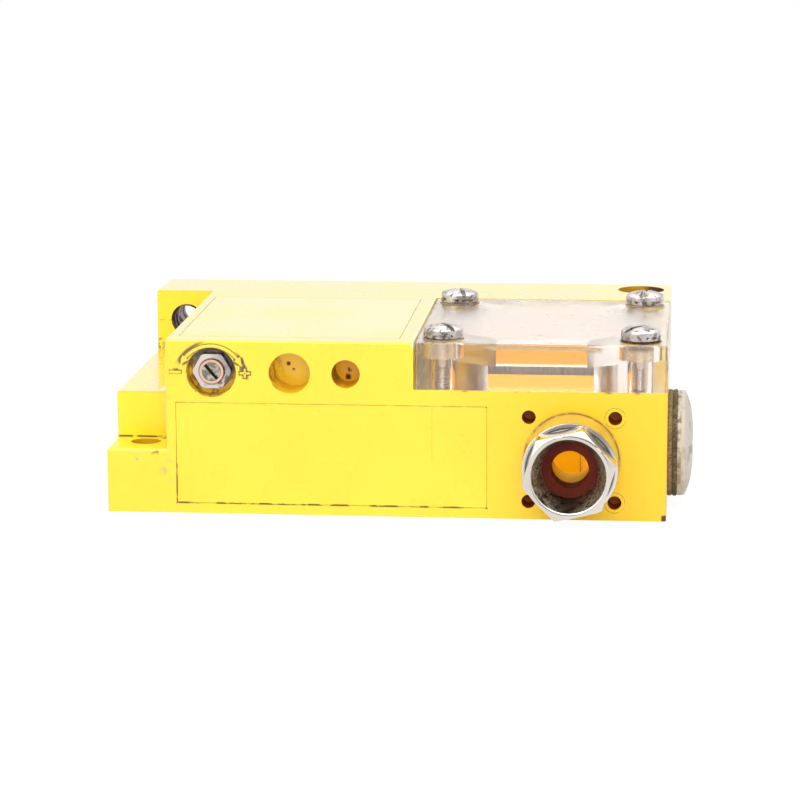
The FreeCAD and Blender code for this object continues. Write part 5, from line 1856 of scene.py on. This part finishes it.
@dataclass
class Studio:
    """Pale floor, soft lamps, white surroundings and the camera.

    Attributes:
        camera_at: Place of the camera.
        forward: Direction that it looks in.
        camera_up: Direction of its upper edge.
        lens: Focal length.
        sensor: Width of the sensor.
        clip: Nearest and farthest distance that it sees, in metres.
        floor_half: Half of the floor's sides.
        floor_colour: Colour of the floor's paper.
        floor_glow: Brightness of the white that is mixed into it where it is seen.
        floor_share: Share of that white.
        ambient: Strength of the even light.
        tent_opening: Direction of the light tent's open front.
        tent_from: Cosine off that direction at which it begins to dim.
        tent_to: Cosine at which it is dimmest.
        tent_dim: Brightness there.
        roof_from: Height on a unit sphere at which the tent's roof begins.
        roof_to: Height at which it is brightest.
        roof_glow: Brightness there.
        look_at: Point that the lamps look at.
        lamps: The lamps.
    """

    camera_at: Point = (70.436, -745.926, 165.694)
    forward: Point = (-0.09308152, 0.97686972, -0.19251333)
    camera_up: Point = (-0.01556221, 0.19190173, 0.98129075)
    lens: float = 140.4
    sensor: float = 36.0
    clip: tuple[float, float] = (0.01, 50.0)
    floor_half: float = 4000.0
    floor_colour: Colour = (0.9, 0.9, 0.9)
    floor_glow: float = 1.07
    floor_share: float = 0.88
    ambient: float = 0.45
    tent_opening: Point = (0.18, -0.98, 0.12)
    tent_from: float = 0.62
    tent_to: float = 0.99
    tent_dim: float = 0.35
    roof_from: float = 0.3
    roof_to: float = 0.7
    roof_glow: float = 1.7
    look_at: Point = (0.0, 0.0, 20.0)
    lamps: tuple[Lamp, ...] = (
        Lamp("key_lamp", (-520.0, -760.0, 520.0), 0.9, 2.0, True),
        Lamp("front_lamp", (120.0, -1250.0, 285.0), 0.55, 4.9, False),
        Lamp("top_lamp", (60.0, -250.0, 950.0), 1.1, 7.0, True),
        Lamp("back_lamp", (150.0, 1150.0, 520.0), 1.1, 4.5, False),
    )

    def build(self) -> None:
        """Set up everything that isn't the object."""
        self._camera()
        self._world()
        self._floor()
        for lamp in self.lamps:
            lamp.hang(self.look_at)
        bpy.context.scene.view_settings.view_transform = "Standard"

    def _camera(self) -> None:
        """Place the camera at the photograph's viewing angle."""
        data = bpy.data.cameras.new("camera")
        data.lens, data.sensor_width = self.lens, self.sensor
        data.clip_start, data.clip_end = self.clip
        ahead, up = Vector(self.forward), Vector(self.camera_up)
        right = ahead.cross(up)
        camera = bpy.data.objects.new("camera", data)
        turn = Matrix((right, up, -ahead)).transposed().to_4x4()
        camera.matrix_world = Matrix.Translation(Vector(self.camera_at) * MM) @ turn
        bpy.context.scene.collection.objects.link(camera)
        bpy.context.scene.camera = camera

    @staticmethod
    def _seen(graph: Graph) -> Socket:
        """Mask of the rays by which the surroundings are seen: from the camera, in gloss, through glass.

        Args:
            graph: The graph that it is for.

        Returns:
            1 for such rays and 0 for others.
        """
        path = graph.node("LightPath").outputs
        seen = graph.math("MAXIMUM", path["Is Camera Ray"], path["Is Glossy Ray"])
        return graph.math("MAXIMUM", seen, path["Is Transmission Ray"])

    def _world(self) -> None:
        """White surroundings where they are seen, an even plain light elsewhere, and a light tent in gloss.

        The tent has a dim open front, round the front horizon, and a bright roof. Only glossy rays meet
        it, so that bright metal shows its form.
        """
        world = bpy.data.worlds.new("surroundings")
        world.use_nodes = True
        graph = Graph(world.node_tree)
        graph.tree.nodes.clear()
        way = graph.node("TexCoord").outputs["Generated"]
        front = graph.vector("DOT_PRODUCT", way, self.tent_opening)
        tent = graph.span(front, self.tent_from, self.tent_to, 1.0, self.tent_dim)
        height = graph.vector("DOT_PRODUCT", way, UP)
        roof = graph.span(height, self.roof_from, self.roof_to, 1.0, self.roof_glow)
        glossy, plain, dim = (
            graph.node("Background", {"Color": (1.0, 1.0, 1.0, 1.0), "Strength": strength}).outputs[0]
            for strength in (graph.math("MULTIPLY", tent, roof), 1.0, self.ambient)
        )
        in_gloss = graph.node("LightPath").outputs["Is Glossy Ray"]
        seen = graph.node("MixShader", {0: in_gloss, 1: plain, 2: glossy}).outputs[0]
        mixed = graph.node("MixShader", {0: self._seen(graph), 1: dim, 2: seen}).outputs[0]
        graph.node("OutputWorld", {"Surface": mixed})
        bpy.context.scene.world = world

    def _floor(self) -> None:
        """White floor that keeps the object's shadow."""
        corners = np.array([(-1, -1, 0), (1, -1, 0), (1, 1, 0), (-1, 1, 0)]) * self.floor_half * MM
        mesh = bpy.data.meshes.new("floor")
        mesh.from_pydata(corners.tolist(), [], [(0, 1, 2, 3)])
        material = bpy.data.materials.new("floor_paper")
        material.use_nodes = True
        graph = Graph(material.node_tree)
        graph.tree.nodes.clear()
        glow = {"Color": (1.0, 1.0, 1.0, 1.0), "Strength": self.floor_glow}
        paper = graph.node("BsdfDiffuse", {"Color": (*self.floor_colour, 1.0)}).outputs[0]
        white = graph.node("Emission", glow).outputs[0]
        share = graph.math("MULTIPLY", self._seen(graph), self.floor_share)
        mixed = graph.node("MixShader", {0: share, 1: paper, 2: white}).outputs[0]
        graph.node("OutputMaterial", {"Surface": mixed})
        mesh.materials.append(material)
        floor = bpy.data.objects.new("floor", mesh)
        bpy.context.scene.collection.objects.link(floor)


@dataclass
class Edges:
    """Small corrections of CAD nodes by live modifiers.

    Attributes:
        weld: Distance within which loose corners are joined.
        slip: Thickness of the air film round the cover.
        cover_round: Rounding of the cover's edges.
        cover_steps: Faces on that rounding.
        least_bend: Bend in degrees from which an edge is rounded.
    """

    weld: float = 0.002
    slip: float = 0.04
    cover_round: float = 0.12
    cover_steps: int = 3
    least_bend: float = 40.0

    def build(self) -> None:
        """Lift the clear cover's skin off its seat by a hair and round its edges.

        Where the cover lies on the housing, two faces share one place, and light that goes through the
        cover would miss the housing's face. The skin is drawn in a little, so that a film of air is left.
        """
        cover = frame["nodes"]["terminal_cover"]
        cover.modifiers.new("join", "WELD").merge_threshold = self.weld * MM
        skin = cover.modifiers.new("air_film", "DISPLACE")
        skin.strength, skin.mid_level = -self.slip * MM, 0.0
        rounding = cover.modifiers.new("edge_round", "BEVEL")
        rounding.width, rounding.segments = self.cover_round * MM, self.cover_steps
        rounding.limit_method, rounding.angle_limit = "ANGLE", math.radians(self.least_bend)
        rounding.harden_normals = True
        LOG.info("terminal_cover: edges rounded")


def main() -> None:
    """Dress the frame, add the detailed pieces and set up the studio."""
    logging.basicConfig(level=logging.INFO, format="%(name)s %(message)s")
    wardrobe = Wardrobe()
    wardrobe.dress_nodes()
    CoverScrews().build(wardrobe["screw_steel"])
    LockWashers().build(wardrobe["washer_steel"])
    FrontPlate().build(wardrobe["plate_plastic"])
    CoverGasket().build(wardrobe["grey_rubber"])
    Gland().build(wardrobe["nickel_brass"])
    Plug().build(wardrobe["plug_plastic"], wardrobe["plug_fibre"])
    adjuster = Adjuster()
    adjuster.build_nut(wardrobe["nut_nickel"])
    adjuster.build_sign(wardrobe["raised_sign"])
    Winding().build(wardrobe["copper"])
    Edges().build()
    Studio().build()


if __name__ == "__main__":
    main()
